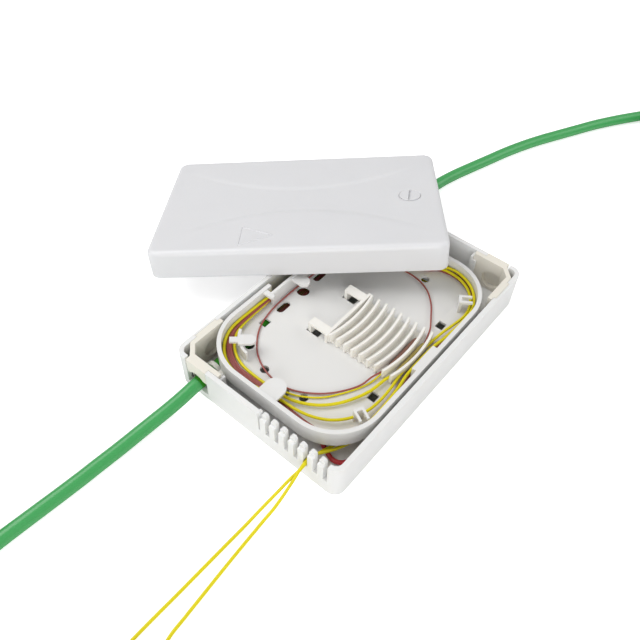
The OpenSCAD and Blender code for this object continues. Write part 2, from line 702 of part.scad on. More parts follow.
module yellow_fibre_1() color("gold") tube(concat(
  through_slot(outlet_low_z), [
  [-in_x + 7, outlet_y - 0.6, 8.6], [-in_x + 15, -35, 6], [-52, -37, 4],
  [-38, -38.5, 3.3], [-15, -39, 3.3], [10, -39, 3.3], [30, -37.6, 3.3],
  [43, -32.8, 3.3], [50.5, -24, 3.3], [53, -12, 3.3], [52.6, 0, 3.3],
  [51.5, 14, 3.3], [47, 26, 3.3], [39.5, 35.6, 3.1], [30, 42.3, 3.4],
  [20, 43.6, 5.6], [9, 43.6, 9.4], [-3, 43.2, 13], [-16, lap_y - 0.4, 15.2]],
  [[-26, 42.6, 15.6], [-35, 42.4, 15.6], [-42, 41.8, 15.6], [-48.4, 40.2, 15.6],
   [-54.5, 36, 15.6], [-58.9, 30.3, 15.6], [-61.2, 24, 15.6], [-62, 16, 15.6],
   [-62, 8, 15.6], [-61.8, 0, 15.6], [-60.8, -7, 15.6], [-58.4, -13.4, 15.6],
   [-54.4, -19.6, 15.6], [-48.5, -25.2, 15.6], [-41, -29.7, 15.6],
   [-32.6, -33, 15.7],
   [comb_x - fin_l / 2, slot_2_y + slot_swing, sleeve_z],
   [comb_x - sleeve_end - 1, slot_2_y, sleeve_z],
   [comb_x - sleeve_end, slot_2_y, sleeve_z]]), pigtail_d, 8);

module yellow_fibre_2() color("gold") tube(concat(
  through_slot(outlet_high_z), [
  [-in_x + 7, outlet_y - 2, 10.4], [-in_x + 15, -38, 7.4], [-52, -40.6, 5],
  [-38, -41.4, 3.4], [-15, -41.8, 3.3], [10, -41.8, 3.3], [31, -40.6, 3.3],
  [45, -35, 3.3], [53, -25.4, 3.3], [55.4, -12, 3.3], [54.9, 0, 3.3],
  [54, 14, 3.3], [49.4, 27.4, 3.3], [41.5, 37.8, 3.1], [31, 44.6, 3.4],
  [20, 45.4, 6.6], [9, 45.2, 11], [-3, 44.8, 15], [-16, lap_y, 17]],
  tray_left(pigtail_d / 2 + 0.3, 17.6),
  [[tray_x - 22, near_y - 1.6, 17.6], [tray_x - 10, near_y, 17.6],
   [tray_x + 10, near_y, 17.6], [tray_x + 22, near_y - 1.6, 17.6]],
  tray_right(pigtail_d / 2 + 0.3, 17.6)), pigtail_d, 8);

// Red loose tube that lies on the tub's floor round the tray's outline
red_z = floor_t + red_d / 2 + 0.05;
module red_tube() color("firebrick") tube([
  [20, 42.8, red_z], [8, 43.4, red_z], [-10, 43.8, red_z], [-28, 43.8, red_z],
  [-42, 43.6, red_z], [-53, 43.2, red_z], [-60.2, 41, red_z], [-62, 36, red_z],
  [-62, 29, red_z], [-61, 19, red_z], [-60.4, 8, red_z], [-60.2, -5, red_z],
  [-60.6, -17, red_z], [-62.4, -27, red_z], [-65.6, -34, red_z],
  [-67, -39.4, red_z], [-64.4, -43.8, red_z], [-57.4, -45.8, red_z],
  [-44, -46.2, red_z], [-28, -46.2, red_z], [-8, -46, red_z]],
  red_d, 8);

// Riser cable inside the tub, with the window cut in its sheath
module riser_inside() color("forestgreen") difference() {
  translate([-tub_l / 2, port_y, riser_z]) rotate([0, 90, 0])
    cylinder(d = riser_d, h = tub_l);
  block([-22, port_y - riser_d, riser_z + 0.5], [22, port_y + riser_d, riser_z + riser_d]);
}

tie_w = 2.4;
tie_t = 0.9;

// Tie that holds the riser down on its saddle
module saddle_tie(x) color("ghostwhite") {
  r = riser_d / 2 + fit;
  translate([x - tie_w / 2, port_y, riser_z]) rotate([0, 90, 0]) difference() {
    cylinder(r = r + tie_t, h = tie_w);
    translate([0, 0, -eps]) cylinder(r = r, h = tie_w + 2 * eps);
  }
  block([x - 2, port_y - r - 4, riser_z + 0.4], [x + 2, port_y - r - tie_t + 0.2, riser_z + 3.4]);
}
module cable_tie_left() saddle_tie(-saddle_x);
module cable_tie_right() saddle_tie(saddle_x);

// ---------- free riser cables ----------

// A free cord's run, from points [outward, across, lift]: outward from the
// tub's end wall, across from the exit, and lift from 0, on the ground, to 1,
// the height of the exit
function free_run(p, side, y, z, d) =
  [for (q = p) [side * (tub_l / 2 + q[0]), y + q[1], d / 2 + q[2] * (z - d / 2)]];

coil_turn_r = 38.5;
coil_mid = [[-tub_l / 2 - 142, port_y + 49], [tub_l / 2 + 228, port_y - 123]];
left_run = [[0, 0, 1], [4, 0.1, 0.94], [10, 0.3, 0.78], [18, 0.8, 0.58],
  [27, 1.7, 0.36], [37, 2.6, 0.16], [48, 3.3, 0.04], [58, 4, 0], [68, 4.5, 0],
  [78, 5.2, 0], [88, 6, 0], [98, 6.8, 0], [108, 7.5, 0], [119, 7.8, 0],
  [130, 8, 0]];
right_run = [[0, 0, 1], [4, 0, 0.94], [11, 0, 0.76], [20, 0, 0.5],
  [31, 0, 0.24], [43, 0, 0.06], [56, -1, 0], [70, -4, 0], [84, -8, 0],
  [98, -12.2, 0], [113, -16.6, 0], [128, -21.8, 0], [143, -28, 0],
  [158, -35.2, 0], [172, -42, 0], [187, -49.4, 0], [204, -59.2, 0],
  [220, -69.6, 0], [234, -79, 0]];

module riser_left() color("forestgreen")
  tube(free_run(left_run, -1, port_y, riser_z, riser_d), riser_d, 10);
module riser_right() color("forestgreen")
  tube(free_run(right_run, 1, port_y, riser_z, riser_d), riser_d, 10);

// Outer shape of a coil of two turns side by side and two high
module riser_coil(mid) {
  translate([mid[0], mid[1], 0]) rotate_extrude($fn = 64)
    translate([coil_turn_r - riser_d, 0]) square(2 * riser_d);
}
module riser_left_coil() color("forestgreen") riser_coil(coil_mid[0]);
module riser_right_coil() color("forestgreen") riser_coil(coil_mid[1]);

// Band round a coil at angle a: radius r, section w wide and h high
module coil_tie(mid, a, r, w, h, band, t) {
  translate([mid[0], mid[1], 0]) rotate([0, 0, a]) difference() {
    block([r - w / 2 - t, -band / 2, 0], [r + w / 2 + t, band / 2, h + t]);
    block([r - w / 2, -band, -eps], [r + w / 2, band, h]);
  }
}
module riser_left_tie() color("dimgray")
  coil_tie(coil_mid[0], 150, coil_turn_r, 2 * riser_d, 2 * riser_d, 8, 1.2);
module riser_right_tie() color("dimgray")
  coil_tie(coil_mid[1], -30, coil_turn_r, 2 * riser_d, 2 * riser_d, 8, 1.2);

// ---------- pigtails ----------

pig_coil_r = 9.6;
pig_coil_w = 4 * pigtail_d;
pig_coil_h = 4 * pigtail_d;
pig_mid = [[-tub_l / 2 - 116, outlet_y - 7], [-tub_l / 2 - 104, outlet_y - 39]];
pig_run = [
  [[0, 0, 1], [4, 0.1, 0.95], [9, 0.8, 0.84], [15, 1.5, 0.64], [21, 2.3, 0.42],
   [27, 3, 0.23], [34, 3.5, 0.08], [42, 3.9, 0], [52, 4.1, 0], [63, 4.3, 0],
   [74, 4.5, 0], [85, 4.8, 0], [96, 5, 0], [106, 4.8, 0], [113, 4, 0]],
  [[0, 0, 1], [4, -0.4, 0.94], [8, -0.9, 0.82], [13, -1.3, 0.65], [18, -1.5, 0.46],
   [23, -1.5, 0.27], [29, -1.2, 0.11], [36, -1.3, 0.02], [45, -1.8, 0],
   [56, -2.6, 0], [67, -3.5, 0], [78, -4.4, 0], [88, -5.4, 0], [96, -8.6, 0],
   [102.4, -13.8, 0], [107.3, -20.6, 0], [111.6, -28.2, 0]]];

module pigtail_cord(i) color("gold")
  tube(free_run(pig_run[i], -1, outlet_y, i == 0 ? outlet_low_z : outlet_high_z,
                pigtail_d), pigtail_d, 8);
module pigtail_coil(i) color("gold") translate([pig_mid[i][0], pig_mid[i][1], 0])
  rotate_extrude() translate([pig_coil_r - pig_coil_w / 2, 0])
    square([pig_coil_w, pig_coil_h]);
module pigtail_tie(i) color("dimgray")
  coil_tie(pig_mid[i], 30, pig_coil_r, pig_coil_w, pig_coil_h, 3, 0.8);

// The connector lies on the ground beside its coil, pointing away
plug_z = 3.7;
boot_l = 22;
plug_l = 25;
cap_l = 12;
pig_turn_r = pig_coil_r + 1.5 * pigtail_d;
plug_at = [for (m = pig_mid) [m[0] - 20, m[1] + pig_turn_r]];

module along_plug(i, s) {
  translate([plug_at[i][0] - s, plug_at[i][1], plug_z]) rotate([0, -90, 0]) children();
}
// Last stretch of the cord, off the coil's top outer turn into the boot
module pigtail_tail(i) color("gold") {
  m = pig_mid[i];
  y = m[1] + pig_turn_r;
  z = 3.5 * pigtail_d;
  tube([[m[0], y, z], [m[0] - 5, y, z - 0.1], [m[0] - 10, y, plug_z + 1],
        [m[0] - 15, y, plug_z + 0.3], [m[0] - 20, y, plug_z]], pigtail_d, 8);
}
module pigtail_boot(i) color("green") along_plug(i, 0)
  rotate_extrude() polygon([[0.01, 0], [1.3, 0], [2.6, boot_l], [0.01, boot_l]]);
module pigtail_connector(i) color("green") along_plug(i, boot_l)
  translate([0, 0, plug_l / 2]) cube([7.4, 9, plug_l], center = true);
module pigtail_cap(i) color("white") along_plug(i, boot_l + plug_l)
  cylinder(d = 4.6, h = cap_l);

base_tub();
lid_cover();
lid_lock();
corner_insert_left();
corner_insert_right();
corner_insert_back();
splice_tray();
splice_comb();
splice_sleeve_1();
splice_sleeve_2();
brown_fibre_1();
brown_fibre_2();
yellow_fibre_1();
yellow_fibre_2();
red_tube();
riser_inside();
cable_tie_left();
cable_tie_right();
riser_left();
riser_left_coil();
riser_left_tie();
riser_right();
riser_right_coil();
riser_right_tie();
pigtail_cord(0);  // pigtail_1
pigtail_coil(0);  // pigtail_1_coil
pigtail_tie(0);  // pigtail_1_tie
pigtail_tail(0);  // pigtail_1_tail
pigtail_boot(0);  // pigtail_1_boot
pigtail_connector(0);  // pigtail_1_connector
pigtail_cap(0);  // pigtail_1_cap
pigtail_cord(1);  // pigtail_2
pigtail_coil(1);  // pigtail_2_coil
pigtail_tie(1);  // pigtail_2_tie
pigtail_tail(1);  // pigtail_2_tail
pigtail_boot(1);  // pigtail_2_boot
pigtail_connector(1);  // pigtail_2_connector
pigtail_cap(1);  // pigtail_2_cap
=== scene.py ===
import logging
from dataclasses import dataclass
from enum import Enum

import bmesh
import bpy
import numpy as np
from mathutils import Matrix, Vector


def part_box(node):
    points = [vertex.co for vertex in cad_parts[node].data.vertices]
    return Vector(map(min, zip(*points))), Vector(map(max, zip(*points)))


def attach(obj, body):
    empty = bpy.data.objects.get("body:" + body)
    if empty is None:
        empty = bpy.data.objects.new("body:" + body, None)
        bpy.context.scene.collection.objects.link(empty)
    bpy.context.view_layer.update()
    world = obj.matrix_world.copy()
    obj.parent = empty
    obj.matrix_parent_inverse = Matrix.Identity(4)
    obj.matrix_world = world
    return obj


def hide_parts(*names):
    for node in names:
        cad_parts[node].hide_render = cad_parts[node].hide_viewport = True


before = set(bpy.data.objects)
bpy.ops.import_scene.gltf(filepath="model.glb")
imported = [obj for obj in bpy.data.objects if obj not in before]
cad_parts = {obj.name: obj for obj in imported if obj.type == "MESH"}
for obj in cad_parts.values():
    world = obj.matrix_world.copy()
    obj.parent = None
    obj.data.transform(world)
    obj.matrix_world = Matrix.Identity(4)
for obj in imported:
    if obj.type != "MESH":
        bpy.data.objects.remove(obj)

log = logging.getLogger("fibre_box")
logging.basicConfig(level=logging.INFO, format="%(name)s: %(message)s")

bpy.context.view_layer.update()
MM = 0.001
FULL = 2.0 * np.pi
MERGE = 2e-6
FLAT = np.radians(0.6)
SHARP = np.radians(32.0)
CORD_SMOOTH = 60.0
LEFTWARD = np.array([-1.0, 0.0, 0.0])
Point = tuple[float, float, float]


class Body(str, Enum):
    """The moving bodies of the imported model."""

    TUB = "tub"
    LID = "lid"
    LOCK = "lock"
    INSERT_LEFT = "insert_left"
    INSERT_RIGHT = "insert_right"


# ---------------------------------------------------------------- surfaces


@dataclass
class Surface:
    """Vertices in millimetres and faces, with one UV pair per vertex.

    Several surfaces add up to one mesh.
    """

    verts: np.ndarray
    faces: list[tuple[int, ...]]
    uv: np.ndarray

    def __add__(self, other: "Surface") -> "Surface":
        """Both surfaces as one, the second's faces moved past the first's vertices.

        Args:
            other: The surface to append.

        Returns:
            The joined surface.
        """
        shift = len(self.verts)
        moved = [tuple(i + shift for i in face) for face in other.faces]
        return Surface(
            np.vstack([self.verts, other.verts]),
            self.faces + moved,
            np.vstack([self.uv, other.uv]),
        )

    def placed(self, matrix: np.ndarray) -> "Surface":
        """The surface moved by a 4x4 matrix in millimetres.

        Args:
            matrix: Rotation and shift.

        Returns:
            The moved surface.
        """
        moved = self.verts @ matrix[:3, :3].T + matrix[:3, 3]
        return Surface(moved, self.faces, self.uv)


def grid_surface(
    grid: np.ndarray,
    wrap: bool = True,
    closed: bool = False,
    caps: bool = True,
    flip: bool = False,
) -> Surface:
    """Quads over a grid of points: row i, column j joins to its three neighbours.

    Args:
        grid: Points as rows, columns, 3, in millimetres.
        wrap: Whether the last column joins the first.
        closed: Whether the last row joins the first.
        caps: Whether the first and last rows are closed by flat faces.
        flip: Whether the faces are turned round.

    Returns:
        The surface, its UV in metres along the rows and turns round the columns.
    """
    rows, cols = grid.shape[:2]
    i = np.arange(rows if closed else rows - 1)[:, None]
    j = np.arange(cols if wrap else cols - 1)[None, :]
    a = i * cols + j
    b = i * cols + (j + 1) % cols
    c = ((i + 1) % rows) * cols + (j + 1) % cols
    d = ((i + 1) % rows) * cols + j
    quads = np.stack([a, b, c, d], axis=-1).reshape(-1, 4)
    if flip:
        quads = quads[:, ::-1]
    faces = [tuple(q) for q in quads.tolist()]
    if caps and not closed:
        first = list(range(cols))[::-1]
        last = list(range((rows - 1) * cols, rows * cols))
        faces += [tuple(first[::-1] if flip else first), tuple(last[::-1] if flip else last)]
    step = np.linalg.norm(np.diff(grid, axis=0), axis=2).mean(axis=1)
    along = np.concatenate([[0.0], np.cumsum(step)]) * MM
    around = np.arange(cols) / cols
    uv = np.stack(np.broadcast_arrays(along[:, None], around[None, :]), axis=-1)
    return Surface(grid.reshape(-1, 3).astype(float), faces, uv.reshape(-1, 2))


def smooth_path(points: np.ndarray, step: float) -> np.ndarray:
    """A smooth line through points, its samples a fixed length apart.

    Each span is the Catmull-Rom cubic of its two ends and their neighbours,
    with knots spaced by the square root of the distance, and the samples are
    then placed at equal arc length.

    Args:
        points: The points that the line passes, n by 3.
        step: Distance between samples.

    Returns:
        The samples, m by 3.
    """
    p = np.asarray(points, float)
    p = np.vstack([2 * p[0] - p[1], p, 2 * p[-1] - p[-2]])
    knot = np.concatenate([[0.0], np.cumsum(np.linalg.norm(np.diff(p, axis=0), axis=1) ** 0.5)])
    t0, t1, t2, t3 = (k[:, None, None] for k in (knot[:-3], knot[1:-2], knot[2:-1], knot[3:]))
    q0, q1, q2, q3 = (q[:, None, :] for q in (p[:-3], p[1:-2], p[2:-1], p[3:]))
    f = np.linspace(0.0, 1.0, 24, endpoint=False)[None, :, None]
    t = t1 + f * (t2 - t1)
    a1 = (t1 - t) / (t1 - t0) * q0 + (t - t0) / (t1 - t0) * q1
    a2 = (t2 - t) / (t2 - t1) * q1 + (t - t1) / (t2 - t1) * q2
    a3 = (t3 - t) / (t3 - t2) * q2 + (t - t2) / (t3 - t2) * q3
    b1 = (t2 - t) / (t2 - t0) * a1 + (t - t0) / (t2 - t0) * a2
    b2 = (t3 - t) / (t3 - t1) * a2 + (t - t1) / (t3 - t1) * a3
    line = ((t2 - t) / (t2 - t1) * b1 + (t - t1) / (t2 - t1) * b2).reshape(-1, 3)
    line = np.vstack([line, p[-2]])
    return even_path(line, step)


def even_path(line: np.ndarray, step: float) -> np.ndarray:
    """A line resampled at equal arc length.

    Args:
        line: Points, n by 3.
        step: Distance between samples.

    Returns:
        The samples, m by 3.
    """
    run = np.concatenate([[0.0], np.cumsum(np.linalg.norm(np.diff(line, axis=0), axis=1))])
    count = max(int(round(run[-1] / step)), 2)
    at = np.linspace(0.0, run[-1], count + 1)
    return np.stack([np.interp(at, run, line[:, k]) for k in range(3)], axis=1)


def path_axes(line: np.ndarray, closed: bool = False) -> tuple[np.ndarray, np.ndarray, np.ndarray]:
    """Heading, level side and up directions along a line that is never vertical.

    The side is the heading crossed with Z, and up is the side crossed with
    the heading.

    Args:
        line: Points, n by 3.
        closed: Whether the line is a loop.

    Returns:
        Three arrays of unit vectors, n by 3.
    """
    if closed:
        heading = np.roll(line, -1, axis=0) - np.roll(line, 1, axis=0)
    else:
        heading = np.gradient(line, axis=0)
    heading /= np.linalg.norm(heading, axis=1, keepdims=True)
    side = np.cross(heading, [0.0, 0.0, 1.0])
    side /= np.linalg.norm(side, axis=1, keepdims=True)
    return heading, side, np.cross(side, heading)


def tube(line: np.ndarray, radius: float | np.ndarray, sides: int = 16) -> Surface:
    """A round tube: ring point = centre + r (cos a side + sin a up).

    Args:
        line: Centreline, n by 3.
        radius: One radius, or one for each point.
        sides: Points in a ring.

    Returns:
        The closed tube.
    """
    _, side, up = path_axes(line)
    a = np.arange(sides) / sides * FULL
    r = np.broadcast_to(np.asarray(radius, float), (len(line),))[:, None, None]
    ring = np.cos(a)[None, :, None] * side[:, None, :] + np.sin(a)[None, :, None] * up[:, None, :]
    return grid_surface(line[:, None, :] + r * ring, flip=True)


def lathe(profile: np.ndarray, sides: int = 48) -> Surface:
    """A profile of (radius, height) points turned about Z.

    Args:
        profile: Points from the bottom middle, up the outside, to the top middle.
        sides: Points round the axis.

    Returns:
        The closed surface.
    """
    a = np.arange(sides) / sides * FULL
    r = np.maximum(profile[:, 0], 1e-4)[:, None]
    grid = np.stack(
        np.broadcast_arrays(r * np.cos(a), r * np.sin(a), profile[:, 1][:, None]), axis=-1
    )
    return grid_surface(grid)


def round_rect(length: float, width: float, radius: float, arc: int = 8) -> np.ndarray:
    """Outline of a rectangle with round corners, anticlockwise.

    Args:
        length: Size along X.
        width: Size along Y.
        radius: Radius of the corners.
        arc: Steps in each corner.

    Returns:
        Points, n by 2.
    """
    a = np.linspace(0.0, np.pi / 2, arc + 1)
    quarter = np.stack([np.cos(a), np.sin(a)], axis=1) * radius
    x, y = length / 2 - radius, width / 2 - radius
    parts = []
    for turn, centre in enumerate(((x, y), (-x, y), (-x, -y), (x, -y))):
        c, s = np.cos(turn * np.pi / 2), np.sin(turn * np.pi / 2)
        parts.append(quarter @ np.array([[c, s], [-s, c]]) + centre)
    return np.vstack(parts)


def soft_block(outline: np.ndarray, z0: float, z1: float, edge: float, steps: int = 3) -> Surface:
    """An outline raised from z0 to z1, its two rims rounded.

    At a rim the outline is drawn in along its own normals by
    edge (1 - sin a) while the height follows edge (1 - cos a).

    Args:
        outline: Plan, n by 2, anticlockwise.
        z0: Lowest height.
        z1: Highest height.
        edge: Radius of the rims.
        steps: Steps in each rounding.

    Returns:
        The closed block.
    """
    ahead = np.roll(outline, -1, axis=0) - np.roll(outline, 1, axis=0)
    ahead /= np.maximum(np.linalg.norm(ahead, axis=1, keepdims=True), 1e-9)
    normal = np.stack([ahead[:, 1], -ahead[:, 0]], axis=1)
    a = np.linspace(0.0, np.pi / 2, steps + 1)
    inset = np.concatenate([edge * (1 - np.sin(a)), edge * (1 - np.cos(a))])
    height = np.concatenate([z0 + edge * (1 - np.cos(a)), z1 - edge * (1 - np.sin(a))])
    plan = outline[None] - inset[:, None, None] * normal[None]
    z = np.broadcast_to(height[:, None, None], plan.shape[:2] + (1,))
    return grid_surface(np.concatenate([plan, z], axis=2))


def along_x(length_axis: np.ndarray, origin: np.ndarray) -> np.ndarray:
    """Matrix that sends local Z along a level direction from a point.

    Args:
        length_axis: Direction of local Z.
        origin: Where local zero goes.

    Returns:
        A 4x4 matrix in millimetres.
    """
    w = np.asarray(length_axis, float) / np.linalg.norm(length_axis)
    u = np.cross([0.0, 0.0, 1.0], w)
    u /= np.linalg.norm(u)
    m = np.eye(4)
    m[:3, 0], m[:3, 1], m[:3, 2], m[:3, 3] = u, np.cross(w, u), w, origin
    return m


def turned(yaw: float, pitch: float, roll: float, shift: Point) -> np.ndarray:
    """A pose matrix: roll about Y, then pitch about X, then yaw about Z, then a shift.

    Args:
        yaw: Degrees about Z.
        pitch: Degrees about X.
        roll: Degrees about Y.
        shift: Where the origin goes.

    Returns:
        A 4x4 matrix in millimetres.
    """
    y, p, r = np.radians([yaw, pitch, roll])
    about_z = np.array([[np.cos(y), -np.sin(y), 0], [np.sin(y), np.cos(y), 0], [0, 0, 1]])
    about_x = np.array([[1, 0, 0], [0, np.cos(p), -np.sin(p)], [0, np.sin(p), np.cos(p)]])
    about_y = np.array([[np.cos(r), 0, np.sin(r)], [0, 1, 0], [-np.sin(r), 0, np.cos(r)]])
    m = np.eye(4)
    m[:3, :3] = about_z @ about_x @ about_y
    m[:3, 3] = shift
    return m


def joined(surfaces: list[Surface]) -> Surface:
    """Several surfaces as one, in their order."""
    total = surfaces[0]
    for surface in surfaces[1:]:
        total = total + surface
    return total


def ease(x: np.ndarray) -> np.ndarray:
    """Smoothstep: 3 x^2 - 2 x^3, with x held between 0 and 1."""
    x = np.clip(x, 0.0, 1.0)
    return x * x * (3 - 2 * x)


def linked(name: str, data: bpy.types.ID) -> bpy.types.Object:
    """A new object in the scene, at the origin."""
    thing = bpy.data.objects.new(name, data)
    bpy.context.scene.collection.objects.link(thing)
    return thing


# ---------------------------------------------------------------- finishes


def add_node(
    tree: bpy.types.NodeTree, kind: str, values: dict[str | int, object], operation: str = ""
) -> bpy.types.Node:
    """A new shader node with its inputs set or linked.

    Args:
        tree: The tree it belongs to.
        kind: Its type, without the leading ShaderNode.
        values: A constant or an output to link, for each input.
        operation: The operation of a math node.

    Returns:
        The node.
    """
    node = tree.nodes.new("ShaderNode" + kind)
    if operation:
        node.operation = operation
    for key, value in values.items():
        if isinstance(value, bpy.types.NodeSocket):
            tree.links.new(value, node.inputs[key])
        else:
            node.inputs[key].default_value = value
    return node


class Groups:
    """Shader node groups that more than one finish uses, each built once."""

    @staticmethod
    def _new(
        name: str, ins: list[tuple[str, str, object]]
    ) -> tuple[bpy.types.NodeTree, bpy.types.Node]:
        """A group with its inputs, and Color, Roughness and Height for outputs.

        Args:
            name: The group's name.
            ins: Name, socket type and default of each input.

        Returns:
            The tree and its input node.
        """
        tree = bpy.data.node_groups.new(name, "ShaderNodeTree")
        for label, kind, value in ins:
            socket = tree.interface.new_socket(
                label, in_out="INPUT", socket_type="NodeSocket" + kind)
            if value is not None:
                socket.default_value = value
        for label, kind in (("Color", "Color"), ("Roughness", "Float"), ("Height", "Float")):
            tree.interface.new_socket(label, in_out="OUTPUT", socket_type="NodeSocket" + kind)
        return tree, tree.nodes.new("NodeGroupInput")

    @staticmethod
    def _outputs(
        tree: bpy.types.NodeTree, colour: bpy.types.NodeSocket, tone: bpy.types.Node,
        amount: bpy.types.NodeSocket, wear: bpy.types.Node, rough: tuple, relief: bpy.types.Node,
    ) -> bpy.types.NodeTree:
        """Links a group's outputs: colour (1 + amount (tone - 1/2)), wear, relief.

        Args:
            tree: The group.
            colour: The colour before its tone is varied.
            tone: Noise that varies the colour.
            amount: How much it does.
            wear: Noise that varies the roughness.
            rough: The lowest and the highest roughness.
            relief: Noise for the height.

        Returns:
            The group.
        """
        sink = tree.nodes.new("NodeGroupOutput")
        centre = add_node(tree, "Math", {0: tone.outputs["Fac"], 1: 0.5}, "SUBTRACT")
        swing = add_node(tree, "Math", {0: centre.outputs[0], 1: amount, 2: 1.0}, "MULTIPLY_ADD")
        tint = add_node(tree, "VectorMath", {0: colour, "Scale": swing.outputs[0]}, "SCALE")
        worn = add_node(tree, "MapRange", {
            "Value": wear.outputs["Fac"], "From Min": 0.3, "From Max": 0.7,
            "To Min": rough[0], "To Max": rough[1],
        })
        tree.links.new(tint.outputs[0], sink.inputs["Color"])
        tree.links.new(worn.outputs["Result"], sink.inputs["Roughness"])
        tree.links.new(relief.outputs["Fac"], sink.inputs["Height"])
        return tree

    @classmethod
    def moulded(cls) -> bpy.types.NodeTree:
        """Moulded plastic: spark-eroded grain, faint flow clouds and fine scuffs."""
        found = bpy.data.node_groups.get("MouldedSkin")
        if found:
            return found
        tree, source = cls._new("MouldedSkin", [
            ("Vector", "Vector", None), ("Colour", "Color", (0.8, 0.8, 0.8, 1.0)),
            ("Clouds", "Float", 0.05), ("Grain Scale", "Float", 1500.0),
            ("Rough Low", "Float", 0.35), ("Rough High", "Float", 0.5),
        ])
        out = source.outputs
        clouds, grain, scuff = (
            add_node(tree, "TexNoise", {"Vector": out["Vector"], **values}) for values in (
                {"Scale": 38.0, "Detail": 3.0},
                {"Scale": out["Grain Scale"], "Detail": 2.0},
                {"Scale": 210.0, "Detail": 5.0, "Roughness": 0.7},
            )
        )
        rough = (out["Rough Low"], out["Rough High"])
        return cls._outputs(tree, out["Colour"], clouds, out["Clouds"], scuff, rough, grain)

    @classmethod
    def sheath(cls) -> bpy.types.NodeTree:
        """Extruded sheath: streaks and slow swells along the cord, and fine pores."""
        found = bpy.data.node_groups.get("ExtrudedSheath")
        if found:
            return found
        tree, source = cls._new("ExtrudedSheath", [
            ("UV", "Vector", None), ("Colour", "Color", (0.1, 0.5, 0.1, 1.0)),
            ("Streaks", "Float", 0.25),
        ])
        out = source.outputs
        noises = []
        for stretch, values in (
            ((18.0, 24.0, 1.0), {"Scale": 1.0, "Detail": 4.0}),
            ((900.0, 40.0, 1.0), {"Scale": 1.0}),
        ):
            place = add_node(tree, "Mapping", {"Vector": out["UV"], "Scale": stretch})
            noises.append(add_node(tree, "TexNoise", {"Vector": place.outputs["Vector"], **values}))
        streak, pores = noises
        return cls._outputs(
            tree, out["Colour"], streak, out["Streaks"], streak, (0.3, 0.46), pores)


@dataclass(frozen=True)
class Finish:
    """A moulded plastic: its colour and how its skin was left by the mould."""

    name: str
    colour: Point
    rough: tuple[float, float] = (0.36, 0.5)
    clouds: float = 0.05
    grain_scale: float = 1500.0
    grain_depth: float = 0.000012
    subsurface: float = 0.0
    coat: float = 0.0
    transmission: float = 0.0
    specular: float = 0.5
    slot: str = "tub_plastic"

    def material(self) -> bpy.types.Material:
        """The finish's material, built at its first use."""
        found = bpy.data.materials.get(self.name)
        if found:
            return found
        mat = bpy.data.materials.new(self.name)
        mat.use_nodes = True
        tree = mat.node_tree
        shader = tree.nodes["Principled BSDF"]
        for label, value in (
            ("IOR", 1.49), ("Specular IOR Level", self.specular),
            ("Subsurface Weight", self.subsurface), ("Subsurface Radius", (1.0, 0.85, 0.7)),
            ("Subsurface Scale", 0.001), ("Coat Weight", self.coat), ("Coat Roughness", 0.12),
            ("Transmission Weight", self.transmission),
        ):
            shader.inputs[label].default_value = value
        skin = self.skin(tree)
        skin.inputs["Colour"].default_value = (*self.colour, 1.0)
        bump = add_node(tree, "Bump", {
            "Strength": 1.0, "Distance": self.grain_depth, "Height": skin.outputs["Height"]})
        for output, label in (
            (skin.outputs["Color"], "Base Color"), (skin.outputs["Roughness"], "Roughness"),
            (bump.outputs["Normal"], "Normal"),
        ):
            tree.links.new(output, shader.inputs[label])
        return mat

    def skin(self, tree: bpy.types.NodeTree) -> bpy.types.Node:
        """The skin's group in the material, laid on the Object coordinates."""
        skin = tree.nodes.new("ShaderNodeGroup")
        skin.node_tree = Groups.moulded()
        place = tree.nodes.new("ShaderNodeTexCoord")
        tree.links.new(place.outputs["Object"], skin.inputs["Vector"])
        for label, value in (
            ("Clouds", self.clouds), ("Grain Scale", self.grain_scale),
            ("Rough Low", self.rough[0]), ("Rough High", self.rough[1]),
        ):
            skin.inputs[label].default_value = value
        return skin


@dataclass(frozen=True)
class SheathFinish(Finish):
    """An extruded sheath or coating, whose streaks follow the cord's UV."""

    streaks: float = 0.25

    def skin(self, tree: bpy.types.NodeTree) -> bpy.types.Node:
        """The skin's group in the material, laid on the cord's UV."""
        skin = tree.nodes.new("ShaderNodeGroup")
        skin.node_tree = Groups.sheath()
        place = tree.nodes.new("ShaderNodeUVMap")
        place.uv_map = "UVMap"
        tree.links.new(place.outputs["UV"], skin.inputs["UV"])
        skin.inputs["Streaks"].default_value = self.streaks
        return skin


TUB_WHITE = Finish("tub_white", (0.80, 0.80, 0.79), subsurface=0.08)
LID_WHITE = Finish(
    "lid_white", (0.74, 0.74, 0.755), (0.3, 0.42), grain_scale=1900.0,
    grain_depth=0.000008, subsurface=0.05, slot="lid_plastic",
)
INSERT_CREAM = Finish("insert_cream", (0.80, 0.765, 0.68), subsurface=0.12, slot="insert_plastic")
TRAY_WHITE = Finish(
    "tray_white", (0.765, 0.76, 0.745), (0.28, 0.4), subsurface=0.08, slot="tray_plastic")
# The comb's own pale colour, raised above the other whites as painted light that makes up for the
# shade the comb sits in.
COMB_PALE_PAINTED_LIGHT = Finish(
    "comb_pale_painted_light", (0.86, 0.84, 0.79), (0.38, 0.5), subsurface=0.08, slot="comb_plastic")
TIE_NYLON = Finish(
    "tie_nylon", (0.78, 0.77, 0.72), (0.3, 0.45), subsurface=0.15, slot="tie_white")
STRAP_DARK = Finish(
    "strap_dark", (0.03, 0.03, 0.034), (0.75, 0.9), clouds=0.3, grain_scale=2600.0,
    grain_depth=0.00008, slot="tie_dark",
)
PLUG_GREEN = Finish("plug_green", (0.02, 0.27, 0.07), (0.28, 0.4), coat=0.15, slot="plug_green")
BOOT_GREEN = Finish("boot_green", (0.015, 0.17, 0.05), (0.5, 0.65), slot="boot_green")
CAP_CLEAR = Finish(
    "cap_clear", (0.8, 0.83, 0.85), (0.12, 0.2), transmission=0.7, slot="cap_clear")
